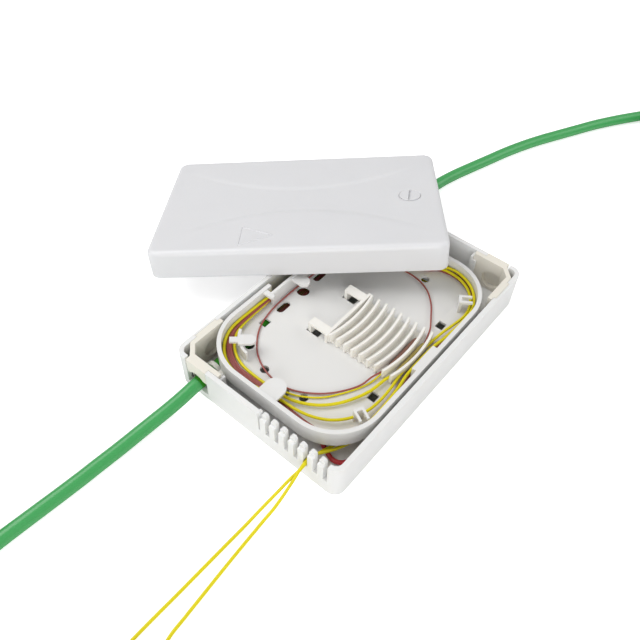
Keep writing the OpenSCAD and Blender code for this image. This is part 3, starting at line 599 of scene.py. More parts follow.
FERRULE_WHITE = Finish("ferrule_white", (0.82, 0.81, 0.78), (0.1, 0.16), slot="tie_white")
SLEEVE_BROWN, SLEEVE_AMBER = (
    Finish(name, colour, (0.14, 0.24), coat=0.5, transmission=0.3, slot="sleeve_plastic")
    for name, colour in (
        ("sleeve_brown", (0.42, 0.2, 0.14)), ("sleeve_amber", (0.62, 0.5, 0.12)),
    )
)
CABLE_COLOUR = (0.024, 0.215, 0.009)
CABLE_GREEN = SheathFinish(
    "cable_green", CABLE_COLOUR, streaks=0.35, specular=0.2, grain_depth=0.00003,
    slot="cable_green",
)
CABLE_GREEN_CUT = Finish(
    "cable_green_cut", CABLE_COLOUR, specular=0.2, grain_depth=0.00002, slot="cable_green")
JACKET_YELLOW = SheathFinish(
    "jacket_yellow", (0.76, 0.66, 0.01), streaks=0.2, grain_depth=0.00001, specular=0.3,
    slot="fibre_yellow",
)
COATING_BROWN = SheathFinish(
    "coating_brown", (0.33, 0.07, 0.06), streaks=0.3, grain_depth=0.000006, coat=0.3,
    slot="fibre_brown",
)
TUBE_RED = SheathFinish(
    "tube_red", (0.42, 0.008, 0.012), streaks=0.3, grain_depth=0.00001, coat=0.3,
    slot="tube_red",
)


def dress(piece: bpy.types.Object, finish: Finish, body: Body, *nodes: str) -> bpy.types.Object:
    """Rides a piece on its body and hides what it stands for.

    Args:
        piece: The finished object.
        finish: Not used.
        body: The body it moves with.
        nodes: CAD nodes that it replaces.

    Returns:
        The same object.
    """
    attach(piece, body.value)
    if nodes:
        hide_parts(*nodes)
    log.info("%s rides on %s", piece.name, body.value)
    return piece


def make_piece(
    name: str, surface: Surface, finish: Finish, *nodes: str,
    body: Body = Body.TUB, smooth: float = 35.0,
) -> bpy.types.Object:
    """Puts a surface into a mesh object at the origin, in metres, and dresses it.

    Args:
        name: The object's name.
        surface: The surface in millimetres.
        finish: What it is made of.
        nodes: CAD nodes that it replaces.
        body: The body it moves with.
        smooth: Angle in degrees above which an edge stays sharp.

    Returns:
        The object.
    """
    mesh = bpy.data.meshes.new(name)
    mesh.from_pydata((surface.verts * MM).tolist(), [], surface.faces)
    layer = mesh.uv_layers.new(name="UVMap")
    index = np.empty(len(mesh.loops), dtype=np.int32)
    mesh.loops.foreach_get("vertex_index", index)
    layer.uv.foreach_set("vector", surface.uv[index].astype(np.float32).ravel())
    mesh.validate()
    mesh.update()
    piece = linked(name, mesh)
    mesh.shade_smooth()
    mesh.set_sharp_from_angle(angle=np.radians(smooth))
    mesh.materials.append(finish.material())
    return dress(piece, finish, body, *nodes)


def softened(
    node: str, name: str, finish: Finish, width: float, body: Body = Body.TUB
) -> bpy.types.Object:
    """A merged copy of a CAD node with its sharp edges rounded, in its place.

    Flat neighbours are joined into one face first, so that the rounding
    follows the real edges only.

    Args:
        node: The CAD node.
        name: The new piece's name.
        finish: What it is made of.
        width: Radius of the edges in millimetres.
        body: The body it moves with.

    Returns:
        The piece.
    """
    mesh = bpy.data.meshes.new(name)
    work = bmesh.new()
    work.from_mesh(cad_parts[node].data)
    bmesh.ops.remove_doubles(work, verts=work.verts, dist=MERGE)
    bmesh.ops.dissolve_limit(
        work, angle_limit=FLAT, verts=work.verts, edges=work.edges, use_dissolve_boundaries=False
    )
    work.to_mesh(mesh)
    work.free()
    mesh.materials.clear()
    mesh.materials.append(finish.material())
    piece = linked(name, mesh)
    bevel = piece.modifiers.new("edges", "BEVEL")
    bevel.width = width * MM
    bevel.segments = 2
    bevel.limit_method = "ANGLE"
    bevel.angle_limit = SHARP
    bevel.use_clamp_overlap = True
    bevel.harden_normals = True
    mesh.shade_smooth()
    mesh.set_sharp_from_angle(angle=SHARP)
    return dress(piece, finish, body, node)


# ---------------------------------------------------------------- stage


@dataclass
class Studio:
    """Floor, lamps, world and the camera."""

    eye: Point = (-188.593, -126.194, 283.491)
    azimuth: float = -51.284
    elevation: float = 50.147
    roll: float = 1.674
    lens: float = 37.67
    floor_colour: Point = (0.9, 0.9, 0.9)

    def build(self) -> None:
        """Makes the camera first, then the floor, the lamps and the world."""
        self.camera()
        self.floor()
        self.lamps()
        self.world()
        bpy.context.scene.view_settings.view_transform = "Standard"
        log.info("studio ready")

    def camera(self) -> None:
        """Places the camera: back points from the target to the eye, roll turns about it."""
        a, e, r = np.radians([self.azimuth, self.elevation, self.roll])
        back = np.array([np.sin(a) * np.cos(e), -np.cos(a) * np.cos(e), np.sin(e)])
        right = np.cross(-back, [0.0, 0.0, 1.0])
        right /= np.linalg.norm(right)
        up = np.cross(right, -back)
        turned_right = right * np.cos(r) + up * np.sin(r)
        turned_up = -right * np.sin(r) + up * np.cos(r)
        matrix = np.eye(4)
        matrix[:3, 0], matrix[:3, 1], matrix[:3, 2] = turned_right, turned_up, back
        matrix[:3, 3] = np.array(self.eye) * MM
        data = bpy.data.cameras.new("camera")
        data.lens = self.lens
        data.sensor_width = 36.0
        data.clip_start = 0.01
        camera = linked("camera", data)
        camera.matrix_world = Matrix(matrix.tolist())
        bpy.context.scene.camera = camera

    def floor(self) -> None:
        """A wide pale floor that looks white to the camera and keeps the shadow.

        Camera rays see it glow, by 0.6 up to half a metre from the middle and
        by 1 from two metres, so that it is white as far as it goes.
        """
        mesh = bpy.data.meshes.new("floor")
        mesh.from_pydata([(-6, -6, 0), (6, -6, 0), (6, 6, 0), (-6, 6, 0)], [], [(0, 1, 2, 3)])
        floor = linked("floor", mesh)
        mat = bpy.data.materials.new("floor")
        mat.use_nodes = True
        tree = mat.node_tree
        shader = tree.nodes["Principled BSDF"]
        shader.inputs["Base Color"].default_value = (*self.floor_colour, 1.0)
        shader.inputs["Roughness"].default_value = 0.9
        shader.inputs["Specular IOR Level"].default_value = 0.1
        spot = add_node(tree, "TexCoord", {})
        reach = add_node(tree, "VectorMath", {0: spot.outputs["Object"]}, "LENGTH")
        fade = add_node(tree, "MapRange", {
            "Value": reach.outputs["Value"], "From Min": 0.5, "From Max": 2.0,
            "To Min": 0.6, "To Max": 1.0,
        })
        seen = add_node(tree, "LightPath", {})
        scale = add_node(tree, "Math", {
            0: seen.outputs["Is Camera Ray"], 1: fade.outputs["Result"]}, "MULTIPLY")
        lift = add_node(tree, "Emission", {"Strength": scale.outputs[0]})
        both = add_node(tree, "AddShader", {0: shader.outputs[0], 1: lift.outputs[0]})
        tree.links.new(both.outputs[0], tree.nodes["Material Output"].inputs["Surface"])
        mesh.materials.append(mat)

    def lamps(self) -> None:
        """Three wide soft lamps: over the object, in front of it and behind it."""
        for name, place, size, power in (
            ("lamp_over", (-0.3, 0.75, 1.15), 1.2, 11.5),
            ("lamp_front", (-1.05, -0.85, 0.5), 1.2, 10.0),
            ("lamp_side", (0.95, -0.65, 0.6), 0.9, 3.6),
        ):
            data = bpy.data.lights.new(name, "AREA")
            data.shape = "DISK"
            data.size = size
            data.energy = power
            lamp = linked(name, data)
            back = np.array(place) / np.linalg.norm(place)
            side = np.cross([0.0, 1.0, 0.0], back)
            side /= np.linalg.norm(side)
            matrix = np.eye(4)
            matrix[:3, 0], matrix[:3, 1], matrix[:3, 2] = side, np.cross(back, side), back
            matrix[:3, 3] = place
            lamp.matrix_world = Matrix(matrix.tolist())

    def world(self) -> None:
        """An even pale world, plain white where the camera sees it."""
        world = bpy.data.worlds.new("world")
        bpy.context.scene.world = world
        world.use_nodes = True
        tree = world.node_tree
        ground = tree.nodes["Background"]
        ground.inputs["Color"].default_value = (1.0, 1.0, 1.0, 1.0)
        seen = add_node(tree, "LightPath", {})
        level = add_node(tree, "MapRange", {
            "Value": seen.outputs["Is Camera Ray"], "To Min": 0.42, "To Max": 1.0})
        tree.links.new(level.outputs["Result"], ground.inputs["Strength"])


# ---------------------------------------------------------------- cords


def free_run(points: list[Point], side: int, exit_at: Point, d: float) -> np.ndarray:
    """A cord's run from [outward, across, lift] points.

    Outward is counted from the end wall, across from the exit, and lift goes
    from 1 at the exit's height to 0 on the ground.

    Args:
        points: The run's points.
        side: -1 for the left end, 1 for the right.
        exit_at: Where the cord leaves, in millimetres.
        d: The cord's diameter.

    Returns:
        The points in millimetres, n by 3.
    """
    p = np.array(points, float)
    x, y, z = exit_at
    return np.stack([x + side * p[:, 0], y + p[:, 1], d / 2 + p[:, 2] * (z - d / 2)], axis=1)


@dataclass
class WoundCoil:
    """A neat coil: turns side by side and on each other, a diameter apart."""

    middle: tuple[float, float]
    mean_radius: float
    diameter: float
    across: int
    high: int
    start: float
    spin: int
    end: float

    def path(self) -> np.ndarray:
        """The centreline, from the outer bottom turn to the outer top one.

        The turn number is the swept angle over a full turn. Radius and height
        hold for most of a turn and ease over to the next place in its last
        sixth, by 3 f^2 - 2 f^3. Odd layers are wound from the inside out.

        Returns:
            Points in millimetres, n by 3.
        """
        place = np.arange(self.across)[::-1] - (self.across - 1) / 2
        radii = self.mean_radius + self.diameter * place
        rows = [radii if k % 2 == 0 else radii[::-1] for k in range(self.high)]
        r_at = np.concatenate(rows)
        z_at = np.repeat((np.arange(self.high) + 0.5) * self.diameter, self.across)
        turns = len(r_at) - ((self.start - self.end) * self.spin % 360.0) / 360.0
        s = np.linspace(0.0, turns, int(turns * 72) + 1)
        k = np.minimum(s.astype(int), len(r_at) - 1)
        f = ease((s - k - 5.0 / 6.0) * 6.0)
        ahead = np.minimum(k + 1, len(r_at) - 1)
        r = r_at[k] + (r_at[ahead] - r_at[k]) * f
        z = z_at[k] + (z_at[ahead] - z_at[k]) * f
        a = np.radians(self.start) + self.spin * s * FULL
        x, y = self.middle
        return np.stack([x + r * np.cos(a), y + r * np.sin(a), z], axis=1)


def strap(coil: WoundCoil, angle: float, size: float, band: float, thick: float) -> Surface:
    """A band round a coil's section, its ends overlapped on the outside.

    The section's outline is a rounded rectangle in the plane of the coil's
    radius and Z, and the band is that outline made thick and swept across
    the band's width with round edges.

    Args:
        coil: The coil it holds.
        angle: Where on the coil the band sits, in degrees.
        size: Width and height of the coil's section.
        band: Width of the band.
        thick: Thickness of the band.

    Returns:
        The closed band.
    """
    outer = round_rect(size + 2 * thick - 0.1, size + thick - 0.1, 1.6 * thick, 6)
    inner = round_rect(size + 0.1, size - thick - 0.1, 0.7 * thick, 6)
    e = 0.3 * thick
    half = band / 2
    rows = [
        (outer, -half + e), (outer * 0.995, -half), (inner, -half),
        (inner, half), (outer * 0.995, half), (outer, half - e),
    ]
    grid = np.stack([
        np.stack([
            coil.mean_radius + o[:, 0], np.full(len(o), y), o[:, 1] + (size + thick) / 2,
        ], axis=1) for o, y in rows
    ])
    m = turned(angle, 0, 0, (*coil.middle, 0))
    return grid_surface(grid, closed=True, caps=False, flip=True).placed(m)


@dataclass
class Riser:
    """One free end of the green riser cable, its unseen length in a coil."""

    label: str
    side: int
    run: list[Point]
    coil: WoundCoil
    tie_angle: float
    diameter: float = 7.0
    exit_at: Point = (80.0, 37.0, 8.1)

    def build(self) -> None:
        start = (self.side * self.exit_at[0], self.exit_at[1], self.exit_at[2])
        run = free_run(self.run, self.side, start, self.diameter)
        wound = self.coil.path()
        line = smooth_path(np.vstack([run, wound[::6]]), 2.5)
        line[:, 2] = np.maximum(line[:, 2], self.diameter / 2)
        d, node = self.diameter, f"riser_{self.label}"
        piece = make_piece(
            f"riser_cable_{self.label}", tube(line, d / 2 - 0.02, 20), CABLE_GREEN,
            node, f"{node}_coil", smooth=CORD_SMOOTH)
        band = strap(self.coil, self.tie_angle, 2 * d, 8.0, 1.1)
        tie = make_piece(f"riser_strap_{self.label}", band, STRAP_DARK, f"{node}_tie")


@dataclass
class Pigtail:
    """One free yellow pigtail, its coil and the connector on its end."""

    number: int
    exit_z: float
    run: list[Point]
    coil: WoundCoil
    diameter: float = 1.6
    exit_xy: tuple[float, float] = (-80.0, -32.875)
    plug_z: float = 3.7
    boot_l: float = 22.0
    plug_l: float = 25.0
    cap_l: float = 12.0

    def build(self) -> None:
        k, d = self.number, self.diameter
        start = (*self.exit_xy, self.exit_z)
        run = free_run(self.run, -1, start, d)
        wound = self.coil.path()
        mx, my = self.coil.middle
        y = my + self.coil.mean_radius + 1.5 * d
        z = 3.5 * d
        tip = np.array([mx - 20, y, self.plug_z])
        tail = tip + [(15, 0, z - 0.1 - self.plug_z), (10, 0, 1), (5, 0, 0.3), (0, 0, 0)]
        line = smooth_path(np.vstack([run, wound[::6], tail]), 0.9)
        line[:, 2] = np.maximum(line[:, 2], d / 2)
        node = f"pigtail_{k}"
        cord = make_piece(
            f"pigtail_cord_{k}", tube(line, d / 2 - 0.01, 12), JACKET_YELLOW,
            node, f"{node}_coil", f"{node}_tail", smooth=CORD_SMOOTH)
        band = strap(self.coil, 30.0, 4 * d, 3.0, 0.7)
        ends = [make_piece(f"pigtail_strap_{k}", band, STRAP_DARK, f"{node}_tie")]
        at = along_x(LEFTWARD, tip)
        ends += [
            make_piece(f"pigtail_{part}_{k}", shape.placed(at), finish, *nodes)
            for part, shape, finish, nodes in (
                ("boot_piece", self.boot(), BOOT_GREEN, [f"{node}_boot"]),
                ("plug_piece", self.connector(), PLUG_GREEN, [f"{node}_connector"]),
                ("cap_piece", self.cap(), CAP_CLEAR, [f"{node}_cap"]),
                ("ferrule", self.ferrule(), FERRULE_WHITE, []),
            )
        ]

    def boot(self) -> Surface:
        """The soft boot: a taper r = 1.25 + 1.3 u with eight grooves cut by a cosine."""
        u = np.linspace(0.0, 1.0, 67)
        r = 1.25 + 1.3 * u - 0.28 * (0.5 - 0.5 * np.cos(u * FULL * 8)) * (u < 0.875)
        along = np.concatenate([[0], u * self.boot_l, [self.boot_l]])
        return lathe(np.stack([np.concatenate([[0], r, [0]]), along], axis=1), 24)

    def connector(self) -> Surface:
        """The square connector: a rear grip with five ribs, a shell and a keyed nose."""
        b = self.boot_l
        ribs = [
            soft_block(round_rect(8.98, 7.36, 1.1, 5), z, z + 1.1, 0.35)
            for z in b + 2.2 + 2.1 * np.arange(5)
        ]
        return joined([
            soft_block(round_rect(9.0, 7.3, 1.1, 5), b, b + 15.0, 0.5),
            soft_block(round_rect(7.2, 5.6, 0.5, 4), b + 14.0, b + self.plug_l, 0.3),
            *ribs,
            soft_block(round_rect(1.6, 6.9, 0.3, 3), b + 14.5, b + 21.0, 0.25),
        ])

    def ferrule(self) -> Surface:
        """The ceramic ferrule inside the cap."""
        b = self.boot_l + self.plug_l
        return lathe(np.array([
            (0, b - 0.5), (1.25, b - 0.5), (1.25, b + 6.6), (0.9, b + 7.0), (0, b + 7.0)]), 24)

    def cap(self) -> Surface:
        """The dust cap: a thin cup with a bead at its mouth."""
        b = self.boot_l + self.plug_l
        e = b + self.cap_l
        return lathe(np.array([
            (1.6, b), (2.3, b), (2.3, b + 1.0), (2.1, b + 1.3), (2.1, e - 0.5), (1.7, e), (0, e),
            (0, e - 0.7), (1.45, e - 0.8), (1.6, e - 1.0), (1.6, b),
        ]), 32)


LEFT_RUN = [
    (0, 0, 1), (4, 0.1, 0.94), (10, 0.3, 0.78), (18, 0.8, 0.58), (27, 1.7, 0.36), (37, 2.6, 0.16),
    (48, 3.3, 0.04),
    (58, 4, 0), (68, 4.5, 0), (78, 5.2, 0), (88, 6, 0), (98, 6.8, 0), (108, 7.5, 0), (119, 7.8, 0),
]
RIGHT_RUN = [
    (0, 0, 1), (4, 0, 0.94), (11, 0, 0.76), (20, 0, 0.5), (31, 0, 0.24), (43, 0, 0.06),
    (56, -1, 0), (70, -4, 0),
    (84, -8, 0), (98, -12.2, 0), (113, -16.6, 0), (128, -21.8, 0), (143, -28, 0), (158, -35.2, 0),
    (172, -42, 0),
    (187, -49.4, 0), (204, -59.2, 0), (220, -69.6, 0), (234, -79, 0),
]
PIGTAIL_RUNS = [
    [
        (0, 0, 1), (4, 0.1, 0.95), (9, 0.8, 0.84), (15, 1.5, 0.64), (21, 2.3, 0.42),
        (27, 3, 0.23), (34, 3.5, 0.08),
        (42, 3.9, 0), (52, 4.1, 0), (63, 4.3, 0), (74, 4.5, 0), (85, 4.8, 0), (96, 5, 0),
        (106, 4.9, 0),
    ],
    [
        (0, 0, 1), (4, -0.4, 0.94), (8, -0.9, 0.82), (13, -1.3, 0.65), (18, -1.5, 0.46),
        (23, -1.5, 0.27),
        (29, -1.2, 0.11), (36, -1.3, 0.02), (45, -1.8, 0), (56, -2.6, 0), (67, -3.5, 0),
        (78, -4.4, 0),
        (88, -5.4, 0), (96, -8.6, 0), (102.4, -13.8, 0), (107.3, -20.6, 0), (111.6, -28.2, 0),
    ],
]


def build_cords() -> None:
    """The two riser ends and the two pigtails."""
    for label, side, run, middle, angle, tie_angle in (
        ("left", -1, LEFT_RUN, (-222.0, 86.0), -80.0, 150.0),
        ("right", 1, RIGHT_RUN, (308.0, -86.0), 60.0, -30.0),
    ):
        coil = WoundCoil(middle, 38.5, 7.0, 2, 2, angle, -1, angle)
        Riser(label, side, run, coil, tie_angle).build()
    for number, exit_z, run, middle, angle in (
        (1, 10.5, PIGTAIL_RUNS[0], (-196.0, -39.875), 80.0),
        (2, 12.2, PIGTAIL_RUNS[1], (-184.0, -71.875), 150.0),
    ):
        Pigtail(number, exit_z, run, WoundCoil(middle, 9.6, 1.6, 4, 4, angle, 1, 90.0)).build()


# ---------------------------------------------------------------- lid


def rim_rings(rows: int, cols: int) -> np.ndarray:
    """Indices round the border of a grid, anticlockwise from its first corner.

    Args:
        rows: Grid rows, along Y.
        cols: Grid columns, along X.

    Returns:
        The indices of the border's points.
    """
    bottom = np.arange(cols - 1)
    right = np.arange(rows - 1) * cols + cols - 1
    top = (rows - 1) * cols + np.arange(cols - 1, 0, -1)
    left = np.arange(rows - 1, 0, -1) * cols
    return np.concatenate([bottom, right, top, left])


def skirted(sheet: np.ndarray, outward: np.ndarray, profile: np.ndarray) -> Surface:
    """A sheet of points whose border runs down a profile to a closing face.

    Ring k is the border moved outward by the profile's first number, at the
    height of its second.

    Args:
        sheet: Rows, columns, 3.
        outward: Outward directions of the border's points, n by 2.
        profile: Offsets and heights, k by 2.

    Returns:
        The closed surface.
    """
    rows, cols = sheet.shape[:2]
    top = grid_surface(sheet, wrap=False, caps=False)
    rim = rim_rings(rows, cols)
    edge = sheet.reshape(-1, 3)[rim]
    plan = edge[None, :, :2] + profile[:, None, :1] * outward[None]
    height = np.broadcast_to(profile[:, None, 1:], plan.shape[:2] + (1,))
    rings = np.concatenate([plan, height], axis=2)
    first = len(top.verts)
    n = len(rim)
    levels = np.vstack([rim[None], first + np.arange(len(profile) * n).reshape(-1, n)])
    a, d = levels[:-1], levels[1:]
    quads = np.stack([a, d, np.roll(d, -1, axis=1), np.roll(a, -1, axis=1)], axis=-1).reshape(-1, 4)
    faces = top.faces + [tuple(q) for q in quads.tolist() + [levels[-1][::-1].tolist()]]
    verts = np.vstack([top.verts, rings.reshape(-1, 3)])
    return Surface(verts, faces, verts[:, :2] * MM)


@dataclass
class Lid:
    """The lift-off lid and its quarter-turn lock, leaning on the tub."""

    length: float = 160.0
    width: float = 103.4
    height: float = 16.4
    corner: float = 6.0
    edge: float = 3.0
    wall: float = 2.2
    top: float = 2.0
    lock_x: float = 62.5
    lock_d: float = 12.0
    slot_w: float = 1.5
    slot_turn: float = 82.0
    yaw: float = -52.0
    pitch: float = -10.214224
    roll: float = -4.741026
    rest_at: Point = (36.4, 69.3, 15.520711)
    mark: tuple = ((-31.0, -47.0), (-13.0, -37.5), (-31.0, -28.0))

    def pose(self) -> np.ndarray:
        """Where the lid leans, as a 4x4 matrix in millimetres."""
        return turned(self.yaw, self.pitch, self.roll, self.rest_at)

    def build(self) -> None:
        """Makes the cover with all that is moulded on it, and the lock."""
        shape = self.cover() + self.triangle() + self.boss() + self.ribs()
        for name, surface, node, body in (
            ("lid_shell", shape, "lid_cover", Body.LID),
            ("lock_disc", self.lock(), "lid_lock", Body.LOCK),
        ):
            lying = surface.placed(self.pose())
            make_piece(name, lying, LID_WHITE, node, body=body, smooth=38.0)

    def half_plan(self) -> Point:
        """Half length and half width of the flat top, and the radius of its corners."""
        e = self.edge
        return self.length / 2 - e, self.width / 2 - e, self.corner - e

    def plan(self) -> tuple[np.ndarray, np.ndarray, np.ndarray]:
        """The top's grid inside its rounded rim.

        Each corner square becomes a quarter disc: (a, b) is scaled by
        max(a, b) / hypot(a, b). Round the lock, square rings become circles,
        and ease back to squares further out.

        Returns:
            X, Y and the ring distance from the lock, each rows by columns.
        """
        hx, hy, r = self.half_plan()
        near = np.arange(-16, 17) * 0.8
        left = np.linspace(-hx, self.lock_x - 12.8, 157)[:-1]
        x = np.concatenate([left, self.lock_x + near, [hx]])
        y = np.concatenate([np.linspace(-hy, -12.8, 45)[:-1], near, np.linspace(12.8, hy, 45)[1:]])
        gx, gy = np.meshgrid(x, y)
        a = np.maximum(np.abs(gx) - (hx - r), 0) / r
        b = np.maximum(np.abs(gy) - (hy - r), 0) / r
        span = np.hypot(a, b)
        k = np.where(span > 0, np.maximum(a, b) / np.where(span > 0, span, 1), 1)
        px = np.sign(gx) * (np.minimum(np.abs(gx), hx - r) + a * k * r)
        py = np.sign(gy) * (np.minimum(np.abs(gy), hy - r) + b * k * r)
        u, v = gx - self.lock_x, gy
        ring = np.maximum(np.abs(u), np.abs(v))
        rho = np.interp(
            ring, [0, 5.6, 6.4, 7.2, 8.0, 8.8, 12.8], [0, 6.05, 6.26, 6.32, 6.6, 7.6, 12.8])
        w = ease((ring - 8.8) / 4.0)
        hyp = np.where(ring > 0, np.hypot(u, v), 1)
        scale = (1 - w) * rho / hyp + w
        inside = ring <= 12.81
        px = np.where(inside, self.lock_x + u * scale, px)
        py = np.where(inside, v * scale, py)
        return px, py, ring

    def cover(self) -> Surface:
        """The shell: a top with a shallow waist-shaped hollow, and its skirt.

        The waist lies between the curves y = +-(12.9 + 0.005 x^2); across
        each, the height eases by smoothstep over 4.4 mm, and it fades out
        towards both ends.

        Returns:
            The closed shell.
        """
        px, py, ring = self.plan()
        t = ease((np.abs(py) - (12.9 + 0.005 * px**2) + 2.2) / 4.4)
        fade = ease((74.0 - np.abs(px)) / 26.0)
        well = np.interp(ring, [0, 5.6, 6.4, 7.2, 8.0, 8.8], [-1.2, -1.2, -1.1, -0.2, -0.03, 0.0])
        soft = np.clip((ring - 8.8) / 4.0, 0, 1)
        z = self.height - 0.5 * (1 - t) * fade * soft + well
        sheet = np.stack([px, py, z], axis=-1)
        rows, cols = px.shape
        rim = sheet.reshape(-1, 3)[rim_rings(rows, cols)][:, :2]
        hx, hy, r = self.half_plan()
        core = np.clip(rim, [-(hx - r), -(hy - r)], [hx - r, hy - r])
        outward = rim - core
        outward /= np.linalg.norm(outward, axis=1, keepdims=True)
        return skirted(sheet, outward, self.section())

    def section(self) -> np.ndarray:
        """The skirt's profile from the top's rim, outside, to the inside of the top."""
        e, h, inner = self.edge, self.height, self.edge - self.wall
        a = np.linspace(0, np.pi / 2, 9)[1:]
        outside = np.stack([e * np.sin(a), h - e * (1 - np.cos(a))], axis=1)
        foot = np.array([(e, 6.0), (e, 0.55), (e - 0.08, 0.25), (e - 0.25, 0.08), (e - 0.55, 0.0)])
        a = np.linspace(0, np.pi / 2, 5)
        roof = h - self.top
        inside = np.stack([inner - 2.0 * (1 - np.cos(a)), roof - 2.0 * (1 - np.sin(a))], axis=1)
        lip = np.array([(inner + 0.35, 0.0), (inner + 0.08, 0.12), (inner, 0.45)])
        return np.vstack([outside, foot, lip, inside])

    def triangle(self) -> Surface:
        """The plain raised triangle: a half-round bead along a three-sided loop.

        Returns:
            The bead.
        """
        corners = np.array(self.mark)
        step = np.linspace(0, 1, 24, endpoint=False)[:, None]
        ahead = np.roll(corners, -1, axis=0)
        line = np.vstack([b + (c - b) * step for b, c in zip(corners, ahead)])
        middle = np.array([-25.8, -37.5])
        a = np.linspace(0, np.pi, 7)
        share = 0.945 + 0.055 * np.cos(a)
        plan = middle + (line - middle)[:, None, :] * share[None, :, None]
        lift = self.height - 0.1 + 0.5 * np.sin(a)
        z = np.broadcast_to(lift[None, :, None], plan.shape[:2] + (1,))
        return grid_surface(np.concatenate([plan, z], axis=2), closed=True, caps=False, flip=True)

    def boss(self) -> Surface:
        """The tube that guides the lock's shank under the top."""
        r = self.lock_d / 2 - 1.5
        roof = self.height - self.top + 0.2
        profile = np.array([
            (2.56, 7.4), (2.8, 7.2), (r - 0.3, 7.2), (r, 7.5), (r, roof - 0.8),
            (r + 0.6, roof - 0.2), (r + 0.6, roof), (2.56, roof), (2.56, 7.4),
        ])
        a = np.arange(40) / 40 * FULL
        grid = np.stack(np.broadcast_arrays(
            self.lock_x + profile[:, :1] * np.cos(a), profile[:, :1] * np.sin(a), profile[:, 1:],
        ), axis=-1)
        return grid_surface(grid, caps=False)

    def ribs(self) -> Surface:
        """The locating ribs inside the skirt and the two ribs at one end."""
        roof = self.height - self.top + 0.2
        shapes = []
        for length, reach, half, places in (
            (12.0, 48.9, self.width / 2, [(x, 0.0, a) for x in (-36.0, 36.0) for a in (90, -90)]),
            (8.0, 77.2, self.length / 2, [(0.0, 13.0, 0), (0.0, -13.0, 180)]),
        ):
            mid, back = reach - 0.6, half - self.wall + 0.3
            rib = round_rect(1.2, length, 0.3, 3) + [mid, 0]
            web = round_rect(back - mid, length - 0.4, 0.2, 3) + [(back + mid) / 2, 0]
            for x, y, angle in places:
                m = turned(angle, 0, 0, (x, y, 0))
                shapes.append(soft_block(rib, -1.5, roof, 0.25).placed(m))
                shapes.append(soft_block(web, 0.4, self.height - self.edge - 1, 0.2).placed(m))
        for y in (-30.0, 30.0):
            plan = round_rect(9.8 + 0.3, 2.0, 0.3, 3) + [-self.length / 2 + self.wall + 4.75, y]
            shapes.append(soft_block(plan, self.height / 2, roof, 0.25))
        return joined(shapes)

    def lock(self) -> Surface:
        """The slotted disc, its shank and its two ears.

        The disc's top is a grid of chords: across runs from rim to rim, and
        along is a share of the chord's half length sqrt(r^2 - across^2).

        Returns:
            The lock.
        """
        r, top, half = self.lock_d / 2 - 0.25, self.height + 0.18, self.slot_w / 2
        side = np.array([half, half + 0.1, 1.6, 2.6, 3.6, 4.4, 5.0, 5.4, 5.65, 0.998 * r])
        across = np.concatenate([-side[::-1], [-half + 0.08, 0.0, half - 0.08], side])
        ends = np.array([0.88, 0.9, 0.97, 1])
        share = np.concatenate([-ends[::-1], np.linspace(-0.8, 0.8, 13), ends])
        u, s = np.meshgrid(across, share)
        v = s * np.sqrt(np.maximum(r * r - u * u, 0))
        z = top - 1.05 * ((np.abs(u) < half - 0.01) & (np.abs(s) < 0.98))
        sheet = np.stack([u, v, z], axis=-1)
        rim = sheet.reshape(-1, 3)[rim_rings(*u.shape)][:, :2]
        outward = rim / np.linalg.norm(rim, axis=1, keepdims=True)
        low = self.height - 1.12
        profile = np.array([(0.15, top - 0.03), (0.23, top - 0.1), (0.25, top - 0.2), (0.25, low)])
        disc = skirted(sheet, outward, profile)
        shank = lathe(np.array([
            (0, 4.0), (2.2, 4.0), (2.5, 4.3), (2.5, low + 0.2), (0, low + 0.2)]), 32)
        ears = soft_block(round_rect(7.8, 1.8, 0.5, 4), 4.0, 6.4, 0.3)
        at = (self.lock_x, 0, 0)
        foot = (shank + ears).placed(turned(0, 0, 0, at))
        return disc.placed(turned(self.slot_turn - 90, 0, 0, at)) + foot


# ---------------------------------------------------------------- tub and tray


@dataclass
class Tub:
    """The tub with its ties, the riser across it and the three port inserts."""

    edge: float = 0.3
    riser_y: float = 37.0
    riser_z: float = 8.1

    def build(self) -> None:
        """Makes the tub, its inserts, the riser's part inside and its ties."""
        softened("base_tub", "tub_shell", TUB_WHITE, self.edge)
        for side, body in (
            ("left", Body.INSERT_LEFT), ("right", Body.INSERT_RIGHT), ("back", Body.TUB),
        ):
            softened(f"corner_insert_{side}", f"port_insert_{side}", INSERT_CREAM, 0.25, body)
        softened("riser_inside", "riser_in_tub", CABLE_GREEN_CUT, 0.15)
        for side in ("left", "right"):
            softened(f"cable_tie_{side}", f"saddle_tie_{side}", TIE_NYLON, 0.15)
        self.strands()

    def strands(self) -> None:
        """The bare fibres in the window of the riser's sheath.

        Each is a shallow arch, z = base + rise sin(pi u), side by side.
        """
        u = np.linspace(0, 1, 40)
        x, z = -21.6 + 43.2 * u, self.riser_z + 0.1 + 0.5 * np.sin(np.pi * u) ** 0.5
        wave = [self.riser_y - 2.0 + 0.8 * k + 0.35 * np.sin(u * 7 + k) for k in range(6)]
        strands = joined([tube(np.stack([x, y, z], axis=1), 0.35, 8) for y in wave])
        make_piece("riser_strands", strands, COATING_BROWN, smooth=CORD_SMOOTH)


